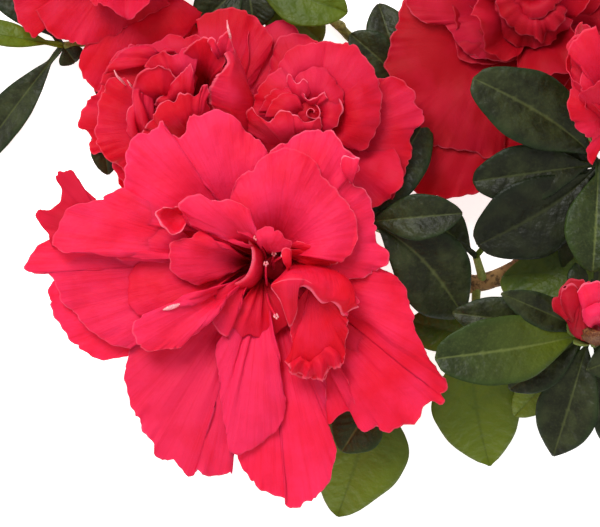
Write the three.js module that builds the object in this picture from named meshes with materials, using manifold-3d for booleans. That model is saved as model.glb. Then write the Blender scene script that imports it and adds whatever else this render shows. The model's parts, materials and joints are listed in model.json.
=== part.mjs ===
// A cut branch of double azalea lying on its back: a woody stem with a flat sawn end, the side shoots that
// leave it, five open blooms, one half-open bloom, one tight bud, and whorls of oval leaves round them.
// Millimetres, degrees, +Z up. The branch lies on z = 0, and the blooms look up.
import * as THREE from "three";
import { mergeVertices } from "three/addons/utils/BufferGeometryUtils.js";
import Module from "manifold-3d";

const wasm = await Module();
wasm.setup();

// Driving sizes
const PETAL_THICK = 0.8;
const LEAF_THICK = 0.6;
const GAP = 0.3; // air between two neighbouring pieces
const STEM_RADIUS = 2.6;
const PEDICEL_RADIUS = 0.9;
const SHOOT_RADIUS = 1.0;
const CALYX_RADIUS = 2.0;

// How fine the faceted pieces are
const LONG_PETAL = 28; // a petal this long or longer has the finer grid
const LONG_GRID = [4, 6]; // rows and columns of its points
const SHORT_GRID = [3, 5];
const LEAF_ROWS = 6;
const LIMB_SIDES = 6;
const LIMB_RINGS = 7;
const STEM_SIDES = 10;
const RUFFLE_SHARE = 0.6; // these coarse petals wave a little less than real ones

// How petals and leaves are shaped
const PETAL_FOOT = 1.2; // where a petal starts, out from the bloom's middle line
const PETAL_BEND = 2.5; // how early along its length a petal turns over
const PETAL_BLUNT = 0.32; // 0 is a fan cut square, 1 a pointed petal
const RING_STEP = 1.4; // how much higher every other petal of a ring sits
const PETIOLE = 0.08; // share of a leaf's length that is its stalk
const LEAF_ARCH = 34; // how far a leaf bends over from stalk to tip
const LEAF_FOLD = 16; // how far each half of a leaf rises from its midrib

const LOOKS = {
  petal: { color: "#ee2c4f", roughness: 0.62, metalness: 0 },
  leaf: { color: "#34401f", roughness: 0.5, metalness: 0 },
  wood: { color: "#6b4a2c", roughness: 0.85, metalness: 0 },
  shoot: { color: "#6f7a2c", roughness: 0.7, metalness: 0 },
};

const radians = THREE.MathUtils.degToRad;
const { clamp, lerp } = THREE.MathUtils;

// One petal. turn is its direction round the bloom and reach its length. fan is the half angle it opens to.
// It leaves the throat at the slope rise and ends at the slope lay. seat is how high up the bloom it starts.
function petal(turn, reach, fan, rise, lay, more = {}) {
  const usual = { cup: 0.02, ruffle: 1.4, waves: 2, phase: 0, seat: 4, edge: 0.04 };
  return { turn, reach, fan, rise, lay, ...usual, ...more };
}

// A ring of like petals, each a little different from the last and every other one higher.
function ring(count, start, reach, fan, rise, lay, more = {}) {
  return Array.from({ length: count }, (_, i) => {
    const turn = start + (360 * i) / count + 7 * Math.sin(2.4 * i);
    const length = reach * (1 + 0.07 * Math.sin(3.1 * i));
    const seat = (more.seat ?? 4) + RING_STEP * (i % 2);
    return petal(turn, length, fan, rise, lay, { phase: 1.3 * i, ...more, seat });
  });
}

// One leaf of a whorl. turn is its direction, long its length with the stalk, wide its width, lift its slope.
function leaf(turn, long, wide, lift, roll = 0) {
  return { turn, long, wide, lift, roll };
}

// The heart of a bloom under its petals, from the calyx up: radius and height
const OPEN_HEART = [
  [PEDICEL_RADIUS, -4],
  [CALYX_RADIUS, 0],
  [2.6, 4],
  [4, 8],
  [7, 12.5],
  [5, 14],
];
const NARROW_HEART = [
  [PEDICEL_RADIUS, -4],
  [CALYX_RADIUS, 0],
  [2.4, 3],
  [3.6, 8],
  [2.8, 10],
];
const BUD_HEART = [
  [PEDICEL_RADIUS, -4],
  [CALYX_RADIUS, 0],
  [4.2, 3],
  [4.9, 7],
  [3.9, 11],
  [1.6, 14.5],
];

// Limbs: each is one taper along a smooth line, from the limb that carries it to its tip
const STEM_TIP = [-1, -3, 7.5];
const ROSE_TIP = [9, 19, 5];
const UPPER_LEFT_TIP = [-8, 17.5, 5];
const FAR_LEFT_TIP = [-34, 52, 3.5];
const TOP_TIP = [-8, 57, 8];
const TOP_RIGHT_TIP = [53, 42, 4];
const RIGHT_TIP = [59, 19.8, 22];
const LOWER_RIGHT_TIP = [57.6, -13.8, 18];
const FAR_RIGHT_TIP = [71, -16.3, 13];
const BOTTOM_TIP = [16.5, -25.5, 10];

const LIMBS = {
  main_stem: {
    line: [[98, 46, 2.6], [80, 33, 3.6], [60, 12, 5.5], [40, -3, 7], [18, -4.5, 7.5], STEM_TIP],
    from: STEM_RADIUS,
    to: 1.5,
  },
  bough_rose: { line: [[26, -4.2, 7.4], [19, 6, 6], [13, 14, 5.2], ROSE_TIP], from: 1.6, to: 1.1 },
  bough_upper_left: { line: [[15.5, 10.5, 5.6], [6, 13, 3.4], [-2, 16, 3], UPPER_LEFT_TIP], from: 1.3, to: 1 },
  bough_far_left: { line: [[-3, 16.2, 3.4], [-15, 27, 2], [-27, 38, 2], FAR_LEFT_TIP], from: 1.1, to: 0.9 },
  bough_top: { line: [[12, 15.5, 5.1], [18, 26, 3], [15, 40, 2.6], [4, 52, 3.5], TOP_TIP], from: 1.2, to: 0.9 },
  bough_top_right: { line: [[73, 26.5, 4.2], [66, 34, 2.6], [59, 40, 2.8], TOP_RIGHT_TIP], from: 1.7, to: 1.1 },
  bough_right: { line: [[66, 19, 4.9], [62.5, 19.5, 9], [60, 19.8, 16], RIGHT_TIP], from: 1.6, to: 1.1 },
  bough_lower_right: { line: [[52, 5, 6.2], [56, -4, 7], [57.4, -11, 11], LOWER_RIGHT_TIP], from: 1.6, to: 1 },
  bough_far_right: { line: [[57, -6, 7.6], [62, -11, 6.5], [68, -15, 9], FAR_RIGHT_TIP], from: 1.2, to: 0.9 },
  bough_bottom: { line: [[30, -4, 7.3], [25, -12, 5.2], [20, -20, 6], BOTTOM_TIP], from: 1.4, to: 0.9 },
};

// Blooms: foot is the bottom of the calyx, and the bloom leans by tilt towards its direction toward
const BLOOMS = {
  bloom_front: {
    foot: [-5.2, -1.5, 15],
    tilt: 6,
    toward: 60,
    carrier: STEM_TIP,
    heart: OPEN_HEART,
    petals: [
      petal(196, 47, 30, 70, -12, { cup: 0.01, ruffle: 1.2, waves: 1.6, phase: 0.4, seat: 2 }),
      petal(60, 33, 28, 72, 4, { ruffle: 1.5, phase: 1, seat: 3 }),
      petal(299, 34, 27, 70, -15, { cup: 0, ruffle: 1, phase: 1, seat: 2 }),
      petal(167, 51, 31, 70, -4, { cup: -0.02, ruffle: 2.6, waves: 2.2, phase: 3.1, seat: 3.5 }),
      petal(239, 48, 31, 70, -7, { cup: 0.01, ruffle: 1.2, waves: 3, phase: 1.9, seat: 3.4 }),
      petal(275, 52, 24, 71, -6, { cup: 0.015, ruffle: 1.2, waves: 3, phase: 1, seat: 4.8 }),
      petal(314, 46, 25, 70, -4, { cup: -0.015, ruffle: 2, waves: 2.5, phase: 2.5, seat: 3.6 }),
      petal(140, 41, 32, 72, 2, { cup: 0.025, ruffle: 1.6, phase: 0.6, seat: 4.8 }),
      petal(111, 36, 34, 73, 4, { cup: 0.025, ruffle: 1.6, phase: 0.6, seat: 6.2 }),
      petal(43, 30, 52, 74, 14, { cup: 0.04, waves: 2.5, phase: 2, seat: 6 }),
      petal(145, 23, 36, 78, 25, { cup: 0.03, ruffle: 1.6, waves: 1.6, phase: 1, seat: 7 }),
      petal(182, 21, 38, 78, 35, { cup: 0.06, ruffle: 1.2, waves: 1.6, seat: 7 }),
      petal(210, 32, 24, 74, 12, { cup: 0.05, ruffle: 1.2, phase: 2, seat: 6 }),
      petal(308, 25, 36, 76, 18, { cup: 0.07, ruffle: 1, waves: 1.5, phase: 1.5, seat: 6 }),
      petal(337, 18, 46, 78, 35, { cup: 0.05, ruffle: 2, waves: 1.5, phase: 3.4, seat: 7 }),
    ],
  },
  bloom_upper_left: {
    foot: [-15.5, 21, 7.5],
    tilt: 24,
    toward: 128,
    carrier: UPPER_LEFT_TIP,
    heart: OPEN_HEART,
    petals: [
      petal(171, 29, 32, 66, 4, { seat: 4.6 }),
      petal(138, 36, 34, 66, -5, { seat: 3 }),
      petal(92, 34, 34, 66, -3, { seat: 4.6 }),
      petal(48, 33, 32, 66, -6, { seat: 3 }),
      petal(216, 23, 34, 66, 0, { seat: 3 }),
      petal(62, 27, 36, 78, 46, { cup: 0.07, ruffle: 2, seat: 6 }),
      petal(104, 22, 34, 78, 40, { cup: 0.05, ruffle: 2, seat: 6 }),
      petal(146, 26, 36, 76, 30, { cup: 0.05, ruffle: 2.4, seat: 6 }),
      petal(186, 24, 36, 76, 24, { cup: 0.04, ruffle: 2, seat: 6 }),
    ],
  },
  bloom_rose: {
    foot: [3.5, 24.5, 10],
    tilt: 14,
    toward: 120,
    carrier: ROSE_TIP,
    heart: OPEN_HEART,
    petals: [
      petal(-6, 28, 38, 66, 12, { seat: 4 }),
      petal(-42, 26, 34, 66, 8, { seat: 2.4 }),
      petal(22, 27, 44, 72, 28, { cup: 0.05, seat: 5.4 }),
      petal(70, 24, 40, 72, 34, { cup: 0.05, seat: 6.8 }),
      petal(112, 22, 38, 74, 31, { cup: 0.05, seat: 5.2 }),
      petal(160, 19, 38, 74, 40, { cup: 0.05, seat: 6.6 }),
      petal(208, 18, 38, 76, 42, { cup: 0.06, seat: 5.2 }),
      ...ring(3, 80, 15, 48, 84, 72, { cup: 0.16, ruffle: 0.4, seat: 7 }),
    ],
  },
  bloom_top_left: {
    foot: [-34, 66, 4.8],
    tilt: 8,
    toward: 200,
    carrier: FAR_LEFT_TIP,
    heart: OPEN_HEART,
    petals: [
      petal(256, 31, 34, 66, -6, { seat: 2.6 }),
      petal(212, 31, 38, 66, 0, { phase: 1, seat: 4.2 }),
      petal(168, 28, 36, 66, -4, { phase: 2, seat: 2.6 }),
      petal(118, 28, 38, 66, -1, { phase: 3, seat: 4.2 }),
      petal(62, 29, 40, 66, -5, { phase: 4, seat: 2.6 }),
      petal(4, 25, 40, 66, 2, { phase: 5, seat: 4.2 }),
      petal(308, 23, 36, 66, 4, { phase: 6, seat: 5.6 }),
      ...ring(4, 56, 19, 38, 76, 30, { seat: 6.5 }),
    ],
  },
  bloom_top_right: {
    foot: [47, 50, 4.7],
    tilt: 6,
    toward: 250,
    carrier: TOP_RIGHT_TIP,
    heart: OPEN_HEART,
    petals: [
      petal(240, 41, 40, 64, -6, { seat: 2.6 }),
      petal(180, 33, 42, 64, -3, { phase: 1, seat: 4 }),
      petal(104, 34, 40, 64, -7, { phase: 2, seat: 2.6 }),
      petal(32, 34, 40, 64, -4, { phase: 3, seat: 4 }),
      petal(312, 33, 40, 64, -3, { phase: 4, seat: 5.2 }),
      ...ring(4, 68, 24, 42, 74, 18, { seat: 6.8 }),
      ...ring(3, 70, 15, 42, 82, 54, { cup: 0.08, seat: 8 }),
    ],
  },
  bloom_half_open: {
    foot: [60.5, 22.5, 29],
    tilt: 50,
    toward: 82,
    carrier: RIGHT_TIP,
    heart: NARROW_HEART,
    petals: [
      ...ring(3, 30, 24, 46, 50, 66, { cup: 0.06, ruffle: 1.2, seat: 3 }),
      petal(200, 20, 42, 76, 80, { cup: 0.1 }),
    ],
  },
  bud: {
    foot: [57.5, -14, 25.5],
    tilt: 44,
    toward: 112,
    carrier: LOWER_RIGHT_TIP,
    heart: BUD_HEART,
    petals: [],
  },
};

// Leaf sprays: a whorl of leaves at the end of a short shoot, which leaves its limb at carrier
const SPRAYS = {
  leaves_right_upper: {
    at: [58.7, 19.6, 26],
    carrier: RIGHT_TIP,
    leaves: [
      leaf(150, 31, 12.5, 18),
      leaf(188, 25, 11.5, 5),
      leaf(214, 28, 14.5, -2),
      leaf(264, 22, 10, 13),
      leaf(258, 24, 9, -17),
      leaf(26, 25, 12, 9),
      leaf(349, 26, 12, -13),
      leaf(302, 30, 12, -24),
    ],
  },
  leaves_right_lower: {
    at: [57.6, -13.6, 21],
    carrier: LOWER_RIGHT_TIP,
    leaves: [
      leaf(190, 34, 14, 19),
      leaf(216, 20, 8, -8),
      leaf(255, 27, 12.5, -13),
      leaf(240, 23, 8, -26),
      leaf(158, 22, 6.5, 24),
      leaf(173, 28, 8.5, 2),
      leaf(150, 20, 11, -12),
      leaf(291, 32, 11, -26),
    ],
  },
  leaves_far_right: {
    at: [71, -16.3, 17],
    carrier: FAR_RIGHT_TIP,
    leaves: [leaf(197, 19, 9, 35), leaf(30, 16, 11, 23), leaf(342, 18, 12, -13), leaf(294, 25, 12, -29)],
  },
  leaves_middle: {
    at: [12.7, 8.2, 23],
    carrier: [19, 6, 6],
    leaves: [leaf(5, 20, 9.5, 12), leaf(317, 27, 15, -11), leaf(56, 26, 10, -7)],
  },
  leaves_fork: {
    at: [35.5, 1.5, 13],
    carrier: [37.5, -4, 7.1],
    leaves: [leaf(141, 20, 10, 20), leaf(51, 22, 10, 8)],
  },
  leaves_lower: {
    at: [35.2, -15.1, 11],
    carrier: [36, -4.2, 7.2],
    leaves: [leaf(165, 14, 9.5, 12), leaf(278, 30, 18, -24)],
  },
  leaves_bottom: {
    at: [15.7, -26.3, 14],
    carrier: BOTTOM_TIP,
    leaves: [leaf(255, 31, 15.5, -29), leaf(244, 14, 9.5, 12)],
  },
  leaves_top_left: {
    at: [-48.2, 44.3, 8.5],
    carrier: [-31.5, 47, 3],
    leaves: [leaf(238, 33, 10, -16, 25), leaf(170, 27, 8, 2, 50), leaf(296, 7, 7, -25), leaf(131, 24, 10, -4)],
  },
  leaves_left: {
    at: [-40.6, 30.8, 9],
    carrier: [-21, 33, 2],
    leaves: [leaf(277, 13, 6, -4), leaf(128, 14, 7, -12)],
  },
  leaves_top: {
    at: [-10.7, 57.1, 14],
    carrier: TOP_TIP,
    leaves: [leaf(341, 22, 12, 10), leaf(313, 16, 10, -18), leaf(101, 22, 11, 5), leaf(52, 22, 11, -5)],
  },
  leaves_top_gap: {
    at: [21.1, 36.8, 10],
    carrier: [16.2, 36, 2.6],
    leaves: [leaf(139, 15, 9, 12), leaf(108, 17, 9, -3)],
  },
};

// A closed shape as a solid that can be joined and cut
function solidFrom(geometry) {
  geometry.deleteAttribute("normal");
  geometry.deleteAttribute("uv");
  const merged = mergeVertices(geometry, 1e-4);
  const vertProperties = merged.attributes.position.array;
  const triVerts = new Uint32Array(merged.index.array);
  return new wasm.Manifold(new wasm.Mesh({ numProp: 3, vertProperties, triVerts }));
}

function shapeOf(points, index) {
  const geometry = new THREE.BufferGeometry().setFromPoints(points);
  geometry.setIndex(index);
  return geometry;
}

// The largest body of a solid: loose scraps are dropped, and hollows sealed inside it are filled
function mainBody(solid) {
  return solid.decompose().reduce((best, body) => (body.volume() > best.volume() ? body : best));
}

function fuse(solids) {
  return mainBody(solids.reduce((joined, next) => joined.add(next)));
}

// The middle line of a petal or leaf: how far out and up it has gone at each step along it
function bendLine(length, slopeAt, steps = 24) {
  const line = [{ along: 0, out: 0, up: 0, slope: slopeAt(0) }];
  for (let i = 1; i <= steps; i++) {
    const last = line[i - 1];
    const slope = slopeAt(i / steps);
    const middle = (slope + last.slope) / 2;
    const step = length / steps;
    const out = last.out + step * Math.cos(middle);
    const up = last.up + step * Math.sin(middle);
    line.push({ along: i * step, out, up, slope });
  }
  return line;
}

function pointOn(line, along) {
  const place = clamp((along / line.at(-1).along) * (line.length - 1), 0, line.length - 1.0001);
  const i = Math.floor(place);
  const mix = (key) => lerp(line[i][key], line[i + 1][key], place - i);
  return { out: mix("out"), up: mix("up"), slope: mix("slope") };
}

// A petal's middle surface in its bloom's own frame: each row runs across it, the last one along its margin
function petalSheet(p, [rows, columns]) {
  const slopeAt = (t) => radians(p.lay + (p.rise - p.lay) * (1 - t) ** PETAL_BEND);
  const line = bendLine(p.reach * 1.06, slopeAt);
  const outward = new THREE.Vector3(Math.cos(radians(p.turn)), Math.sin(radians(p.turn)), 0);
  const sideways = new THREE.Vector3(-outward.y, outward.x, 0);
  return Array.from({ length: rows }, (_, i) => {
    const share = lerp(0.1, 1, i / (rows - 1));
    return Array.from({ length: columns }, (_, j) => {
      const even = (2 * j) / (columns - 1) - 1;
      const side = even * (1.3 - 0.3 * even ** 2);
      const outline = Math.cos((0.92 * side * Math.PI) / 2) ** PETAL_BLUNT;
      const notches = 1 + p.edge * Math.sin(2.3 * Math.PI * side + 1.7 * p.phase);
      const radius = share * p.reach * outline * notches;
      const across = radius * Math.sin(radians(p.fan) * side);
      const { out, up, slope } = pointOn(line, radius * Math.cos(radians(p.fan) * side));
      const bentAcross = p.cup ? Math.sin(p.cup * across) / p.cup : across;
      const cupped = p.cup ? (1 - Math.cos(p.cup * across)) / p.cup : 0;
      const ruffled = RUFFLE_SHARE * p.ruffle * share ** 2.5 * Math.sin(p.waves * Math.PI * side + p.phase);
      const height = cupped + ruffled;
      const point = outward.clone().multiplyScalar(PETAL_FOOT + out - Math.sin(slope) * height);
      point.addScaledVector(sideways, bentAcross);
      point.z = p.seat + up + Math.cos(slope) * height;
      return point;
    });
  });
}

// A leaf's middle surface. A leaf that would sink below the ground lies flat on it.
function leafSheet(l, at) {
  const slopeAt = (t) => radians(l.lift + LEAF_ARCH * (0.5 - t));
  const line = bendLine(l.long, slopeAt);
  const outward = new THREE.Vector3(Math.cos(radians(l.turn)), Math.sin(radians(l.turn)), 0);
  const sideways = new THREE.Vector3(-outward.y, outward.x, 0);
  return Array.from({ length: LEAF_ROWS }, (_, i) => {
    const t = i / (LEAF_ROWS - 1);
    const blade = Math.max(0, (t - PETIOLE) / (1 - PETIOLE));
    const half = (l.wide / 2) * Math.max(0.09, Math.sin(Math.PI * blade ** 1.15) ** 0.75);
    const { out, up, slope } = pointOn(line, t * l.long);
    const normal = outward.clone().multiplyScalar(-Math.sin(slope));
    normal.z = Math.cos(slope);
    const roll = radians(l.roll) * Math.min(1, 2 * t);
    const across = sideways.clone().multiplyScalar(Math.cos(roll)).addScaledVector(normal, Math.sin(roll));
    const above = normal.clone().multiplyScalar(Math.cos(roll)).addScaledVector(sideways, -Math.sin(roll));
    const middle = new THREE.Vector3(...at).addScaledVector(outward, out);
    middle.z += up;
    return [-1, 0, 1].map((edge) => {
      const point = middle.clone().addScaledVector(across, edge * half * Math.cos(radians(LEAF_FOLD)));
      point.addScaledVector(above, Math.abs(edge) * half * Math.sin(radians(LEAF_FOLD)));
      point.z = Math.max(point.z, LEAF_THICK / 2);
      return point;
    });
  });
}

// The numbers of a sheet's border points, once round it
function borderOf(rows, columns) {
  const border = [];
  for (let j = 0; j < columns - 1; j++) border.push(j);
  for (let i = 0; i < rows - 1; i++) border.push(i * columns + columns - 1);
  for (let j = columns - 1; j > 0; j--) border.push((rows - 1) * columns + j);
  for (let i = rows - 1; i > 0; i--) border.push(i * columns);
  return border;
}

// Thickens a sheet into a closed solid. grown widens it all round, to make the room that it needs.
function thicken(sheet, thick, grown) {
  const rows = sheet.length;
  const columns = sheet[0].length;
  const at = (i, j) => sheet[clamp(i, 0, rows - 1)][clamp(j, 0, columns - 1)];
  const top = [];
  const bottom = [];
  for (let i = 0; i < rows; i++) {
    for (let j = 0; j < columns; j++) {
      const along = at(i + 1, j).clone().sub(at(i - 1, j)).normalize();
      const across = at(i, j + 1).clone().sub(at(i, j - 1)).normalize();
      const normal = across.clone().cross(along).normalize();
      const point = at(i, j).clone();
      if (i === rows - 1) point.addScaledVector(along, grown);
      if (j === 0) point.addScaledVector(across, -grown);
      if (j === columns - 1) point.addScaledVector(across, grown);
      top.push(point.clone().addScaledVector(normal, thick / 2 + grown));
      bottom.push(point.clone().addScaledVector(normal, -thick / 2 - grown));
    }
  }
  const index = [];
  const quad = (a, b, c, d) => index.push(a, b, c, a, c, d);
  const below = rows * columns;
  for (let i = 0; i < rows - 1; i++) {
    for (let j = 0; j < columns - 1; j++) {
      const a = i * columns + j;
      const b = a + columns;
      quad(a, a + 1, b + 1, b);
      quad(below + a, below + b, below + b + 1, below + a + 1);
    }
  }
  const border = borderOf(rows, columns);
  border.forEach((a, i) => {
    const b = border[(i + 1) % border.length];
    quad(a, below + a, below + b, b);
  });
  return solidFrom(shapeOf([...top, ...bottom], index));
}

// A round limb that tapers along a smooth line, with flat ends. It never dips below the ground.
function limbSolid(points, from, to, { rings = LIMB_RINGS, sides = LIMB_SIDES, grown = 0 } = {}) {
  const curve = new THREE.CatmullRomCurve3(points.map((p) => new THREE.Vector3(...p)));
  const { tangents, normals, binormals } = curve.computeFrenetFrames(rings, false);
  const places = [];
  for (let i = 0; i <= rings; i++) {
    const centre = curve.getPointAt(i / rings);
    if (i === 0) centre.addScaledVector(tangents[0], -grown);
    if (i === rings) centre.addScaledVector(tangents[rings], grown);
    const radius = lerp(from, to, i / rings) + grown;
    for (let s = 0; s < sides; s++) {
      const angle = (2 * Math.PI * s) / sides;
      const place = centre.clone().addScaledVector(normals[i], radius * Math.cos(angle));
      place.addScaledVector(binormals[i], radius * Math.sin(angle));
      place.z = Math.max(place.z, 0);
      places.push(place);
    }
  }
  const index = [];
  for (let i = 0; i < rings; i++) {
    for (let s = 0; s < sides; s++) {
      const a = i * sides + s;
      const b = i * sides + ((s + 1) % sides);
      index.push(a, b, b + sides, a, b + sides, a + sides);
    }
  }
  const last = rings * sides;
  for (let s = 1; s < sides - 1; s++) {
    index.push(0, s + 1, s);
    index.push(last, last + s, last + s + 1);
  }
  return solidFrom(shapeOf(places, index));
}

// The green cup at the foot of a bloom and the solid heart under its petals
function heartSolid(outline, grown) {
  const first = outline[0][1] - grown;
  const last = outline.at(-1)[1] + grown;
  const profile = [new THREE.Vector2(0, first)];
  for (const [radius, height] of outline) profile.push(new THREE.Vector2(radius + grown, height));
  profile[1].y = first;
  profile.at(-1).y = last;
  profile.push(new THREE.Vector2(0, last));
  return solidFrom(new THREE.LatheGeometry(profile, 8).rotateX(Math.PI / 2));
}

function bloomMatrix({ foot, tilt, toward }) {
  const lean = Math.sin(radians(tilt));
  const axis = new THREE.Vector3(lean * Math.cos(radians(toward)), lean * Math.sin(radians(toward)), 0);
  axis.z = Math.cos(radians(tilt));
  const right = new THREE.Vector3(1, 0, 0).addScaledVector(axis, -axis.x).normalize();
  return new THREE.Matrix4().makeBasis(right, axis.clone().cross(right), axis).setPosition(...foot);
}

// A bloom or bud: heart, petals, and the stalk from the limb that carries it
function bloomSolid(bloom, grown) {
  const grid = (p) => (p.reach < LONG_PETAL ? SHORT_GRID : LONG_GRID);
  const petals = bloom.petals.map((p) => thicken(petalSheet(p, grid(p)), PETAL_THICK, grown));
  const matrix = bloomMatrix(bloom);
  const head = fuse([heartSolid(bloom.heart, grown), ...petals]).transform(matrix.elements);
  const neck = new THREE.Vector3(0, 0, -3).applyMatrix4(matrix).toArray();
  const line = [bloom.carrier, neck, bloom.foot];
  return fuse([head, limbSolid(line, PEDICEL_RADIUS, PEDICEL_RADIUS, { rings: 3, grown })]);
}

function spraySolid({ at, carrier, leaves }, grown) {
  const halfway = at.map((value, i) => (value + carrier[i]) / 2);
  const shoot = limbSolid([carrier, halfway, at], SHOOT_RADIUS, SHOOT_RADIUS, { rings: 2, grown });
  return fuse([shoot, ...leaves.map((l) => thicken(leafSheet(l, at), LEAF_THICK, grown))]);
}

const branch = new THREE.Group();
const taken = []; // the room of every piece so far, with the gap round it

// Adds a piece, cut clear of all the pieces before it
function addPiece(name, makeSolid, look) {
  const solid = mainBody(taken.reduce((left, room) => left.subtract(room), makeSolid(0)));
  const mesh = solid.getMesh();
  const geometry = new THREE.BufferGeometry();
  geometry.setAttribute("position", new THREE.BufferAttribute(mesh.vertProperties, 3));
  geometry.setIndex(new THREE.BufferAttribute(mesh.triVerts, 1));
  geometry.computeVertexNormals();
  const piece = new THREE.Mesh(geometry, new THREE.MeshStandardMaterial(LOOKS[look]));
  piece.name = name;
  branch.add(piece);
  taken.push(makeSolid(GAP));
}

for (const [name, { line, from, to }] of Object.entries(LIMBS)) {
  const isStem = name === "main_stem";
  const sides = isStem ? STEM_SIDES : LIMB_SIDES;
  addPiece(name, (grown) => limbSolid(line, from, to, { sides, grown }), isStem ? "wood" : "shoot");
}
for (const [name, bloom] of Object.entries(BLOOMS)) {
  addPiece(name, (grown) => bloomSolid(bloom, grown), "petal");
}
for (const [name, spray] of Object.entries(SPRAYS)) {
  addPiece(name, (grown) => spraySolid(spray, grown), "leaf");
}

// The branch lies on z = 0 with its middle over the origin
const span = new THREE.Box3().setFromObject(branch);
const middle = span.getCenter(new THREE.Vector3());
for (const piece of branch.children) piece.geometry.translate(-middle.x, -middle.y, -span.min.z);

export default branch;
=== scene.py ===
"""A cut branch of a double azalea in bloom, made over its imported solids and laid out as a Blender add-
on."""

import json
import math
from dataclasses import dataclass
from functools import partial

import bpy
import numpy as np
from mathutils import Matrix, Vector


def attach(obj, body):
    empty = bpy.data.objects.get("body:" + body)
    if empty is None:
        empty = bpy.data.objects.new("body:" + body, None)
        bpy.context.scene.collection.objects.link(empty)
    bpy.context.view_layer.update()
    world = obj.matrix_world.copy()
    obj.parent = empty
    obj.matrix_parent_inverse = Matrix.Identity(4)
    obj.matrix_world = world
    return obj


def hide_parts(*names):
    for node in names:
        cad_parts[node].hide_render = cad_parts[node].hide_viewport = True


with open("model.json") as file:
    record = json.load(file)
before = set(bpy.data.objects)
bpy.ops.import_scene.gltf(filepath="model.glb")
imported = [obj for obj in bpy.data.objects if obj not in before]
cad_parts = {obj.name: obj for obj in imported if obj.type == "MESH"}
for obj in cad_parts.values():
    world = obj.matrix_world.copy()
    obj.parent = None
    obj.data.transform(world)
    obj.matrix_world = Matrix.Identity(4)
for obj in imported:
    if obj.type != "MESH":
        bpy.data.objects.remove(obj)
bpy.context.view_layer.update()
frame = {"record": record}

bl_info = {
    "name": "Azalea branch",
    "version": (1, 0, 0),
    "blender": (4, 5, 0),
    "location": "3D View > Sidebar > Azalea",
    "description": "Makes a cut azalea branch with ruffled double blooms, a bud and whorls of leaves",
    "category": "Add Mesh",
}

# The branch is laid out in millimetres, with the middle of the picture at X 0, Y 0 and the floor at Z 0.
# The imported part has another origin, so the stem's cut end says how far to shift.
MM = 0.001
STEM_START = np.array([98.0, 46.0, 2.6])
SHIFT = np.array(frame["record"]["mounts"][0]["pos_m"]) - STEM_START * MM

# The camera looks straight down, and its picture is 114 mm wide at the height of the blooms.
PICTURE_PIXELS = (600, 527)
PICTURE_WIDTH = 114.0
PIXEL = PICTURE_WIDTH / PICTURE_PIXELS[0]
CAMERA_HEIGHT = 565.0
BLOOM_DEPTH = 45.0
SENSOR = 36.0

# The flat map has a square cell for each surface. Skins keep off its edge, and their rims reach a little past
# them. A tube fills its cell up to a height, and its two caps are small rings above that.
MAP_NAME = "OFBake"
MAP_EDGE = 0.04
MAP_RIM = 0.012
TUBE_TOP = 0.9
CAP_PLACE = 0.95
CAP_SIZE = 0.03

# How finely the surfaces are cut: millimetres a step, and the fewest and most steps
CURVE_STEPS = 24
COLUMN_STEP = 0.48
COLUMNS = (24, 108)
ROW_STEP = 1.4
ROWS = (12, 24)
SMOOTHED_COLUMNS = 6

# Petals, in millimetres where they are lengths
# Along a petal's margin, within BRIM, runs a painted highlight where the margin catches the light, and the
# last row but one lies there. On a folded petal HEM widens it, and it also runs along the top of the fold,
# CREST of the way along the ribs.
BRIM = 0.35
HEM = 2.6
CREST = 0.7
PETAL_FOOT = 1.2
PETAL_BEND = 2.5
PETAL_BLUNT = 0.32
RING_STEP = 1.4
# The next two: painted shade in a bloom's throat is full within the first distance from its middle and gone
# beyond the second
THROAT_SHADE_NEAR = 4.0
THROAT_SHADE_FAR = 13.0

# Waves over a petal, by their length and height in millimetres. The first four swell with its crumple.
SWELLINGS = ((19, 0.5), (13, 0.4), (8.5, 0.25), (6, 0.15), (4.3, 0.07), (3.4, 0.06))
CRUMPLED = 4
# Waves along its margin, with a number that shifts each from petal to petal
FRILLS = ((7.3, 0.5, 2), (4.1, 0.35, 1), (2.3, 0.2, 4), (1.6, 0.15, 5))

# Leaves: the share of the length that is stalk, and how many side veins leave the rib on each side
PETIOLE = 0.08
SIDE_VEINS = 8.5

# About the golden angle, in radians. Things turned by it one after another never line up.
GOLDEN = 2.4

# The veins of petals count their way across in steps of this many millimetres. A surface with no margin is
# said to be so far from one.
VEIN_SPAN = 20.0
NO_BRIM = 3.0

# How long folded petals are, and how wide those and rolled ones are along their margins, in millimetres
RIBBED_LONG = 16
RIBBED_WIDE = 40
ROLLED_WIDE = 60

# Round parts, by their points along them and round them and their radii in millimetres at both ends
STEM_RINGS = 160
BOUGH_RINGS = 80
LIMB_SIDES = 28
JOINT_STEP = 11
STALK_RINGS = 24
STALK_SIDES = 12
STALK_RADIUS = 0.8
THROAT_RINGS = 12
THROAT_SIDES = 24
THROAT_RADII = (1.5, 2.4)
THREAD_RINGS = 20
THREAD_SIDES = 8
THREAD_RADII = (0.28, 0.2)
SPRAY_RINGS = 20
SPRAY_RADII = (0.95, 0.75)
SEPALS = 5
STAMENS = 5
ANTHER_GRAINS = 5

# How far leaves stay above the floor and barks under their solid's skin, in millimetres, and half the floor's
# width in metres
FLOOR_GAP = 0.3
BARK_ROOM = 0.1
FLOOR_HALF = 2.0

# The sockets by which a Mix node takes two colours and gives one
MIX_UNDER, MIX_OVER, MIX_COLOUR = 6, 7, 2
# What a young leaf yellows to at one end, and the painted shade that darkens leaves turned away from the
# light
YELLOW_GREEN = "#6c7c12"
SHADED_GREEN = "#0a0c06"

# The petal looks are one material in three reds. The two darker ones are partly the petals' own deeper red
# and partly painted shade.
LOOK_NAMES = ("azalea_petal", "azalea_petal_red", "azalea_petal_deep", "azalea_calyx", "azalea_anther",
              "azalea_bud_scale")
PETAL_LOOK, RED_LOOK, DEEP_LOOK, CALYX_LOOK, ANTHER_LOOK, SCALE_LOOK = range(6)
DARK, MIDDLE, BRIGHT, STALK = range(4)


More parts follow.
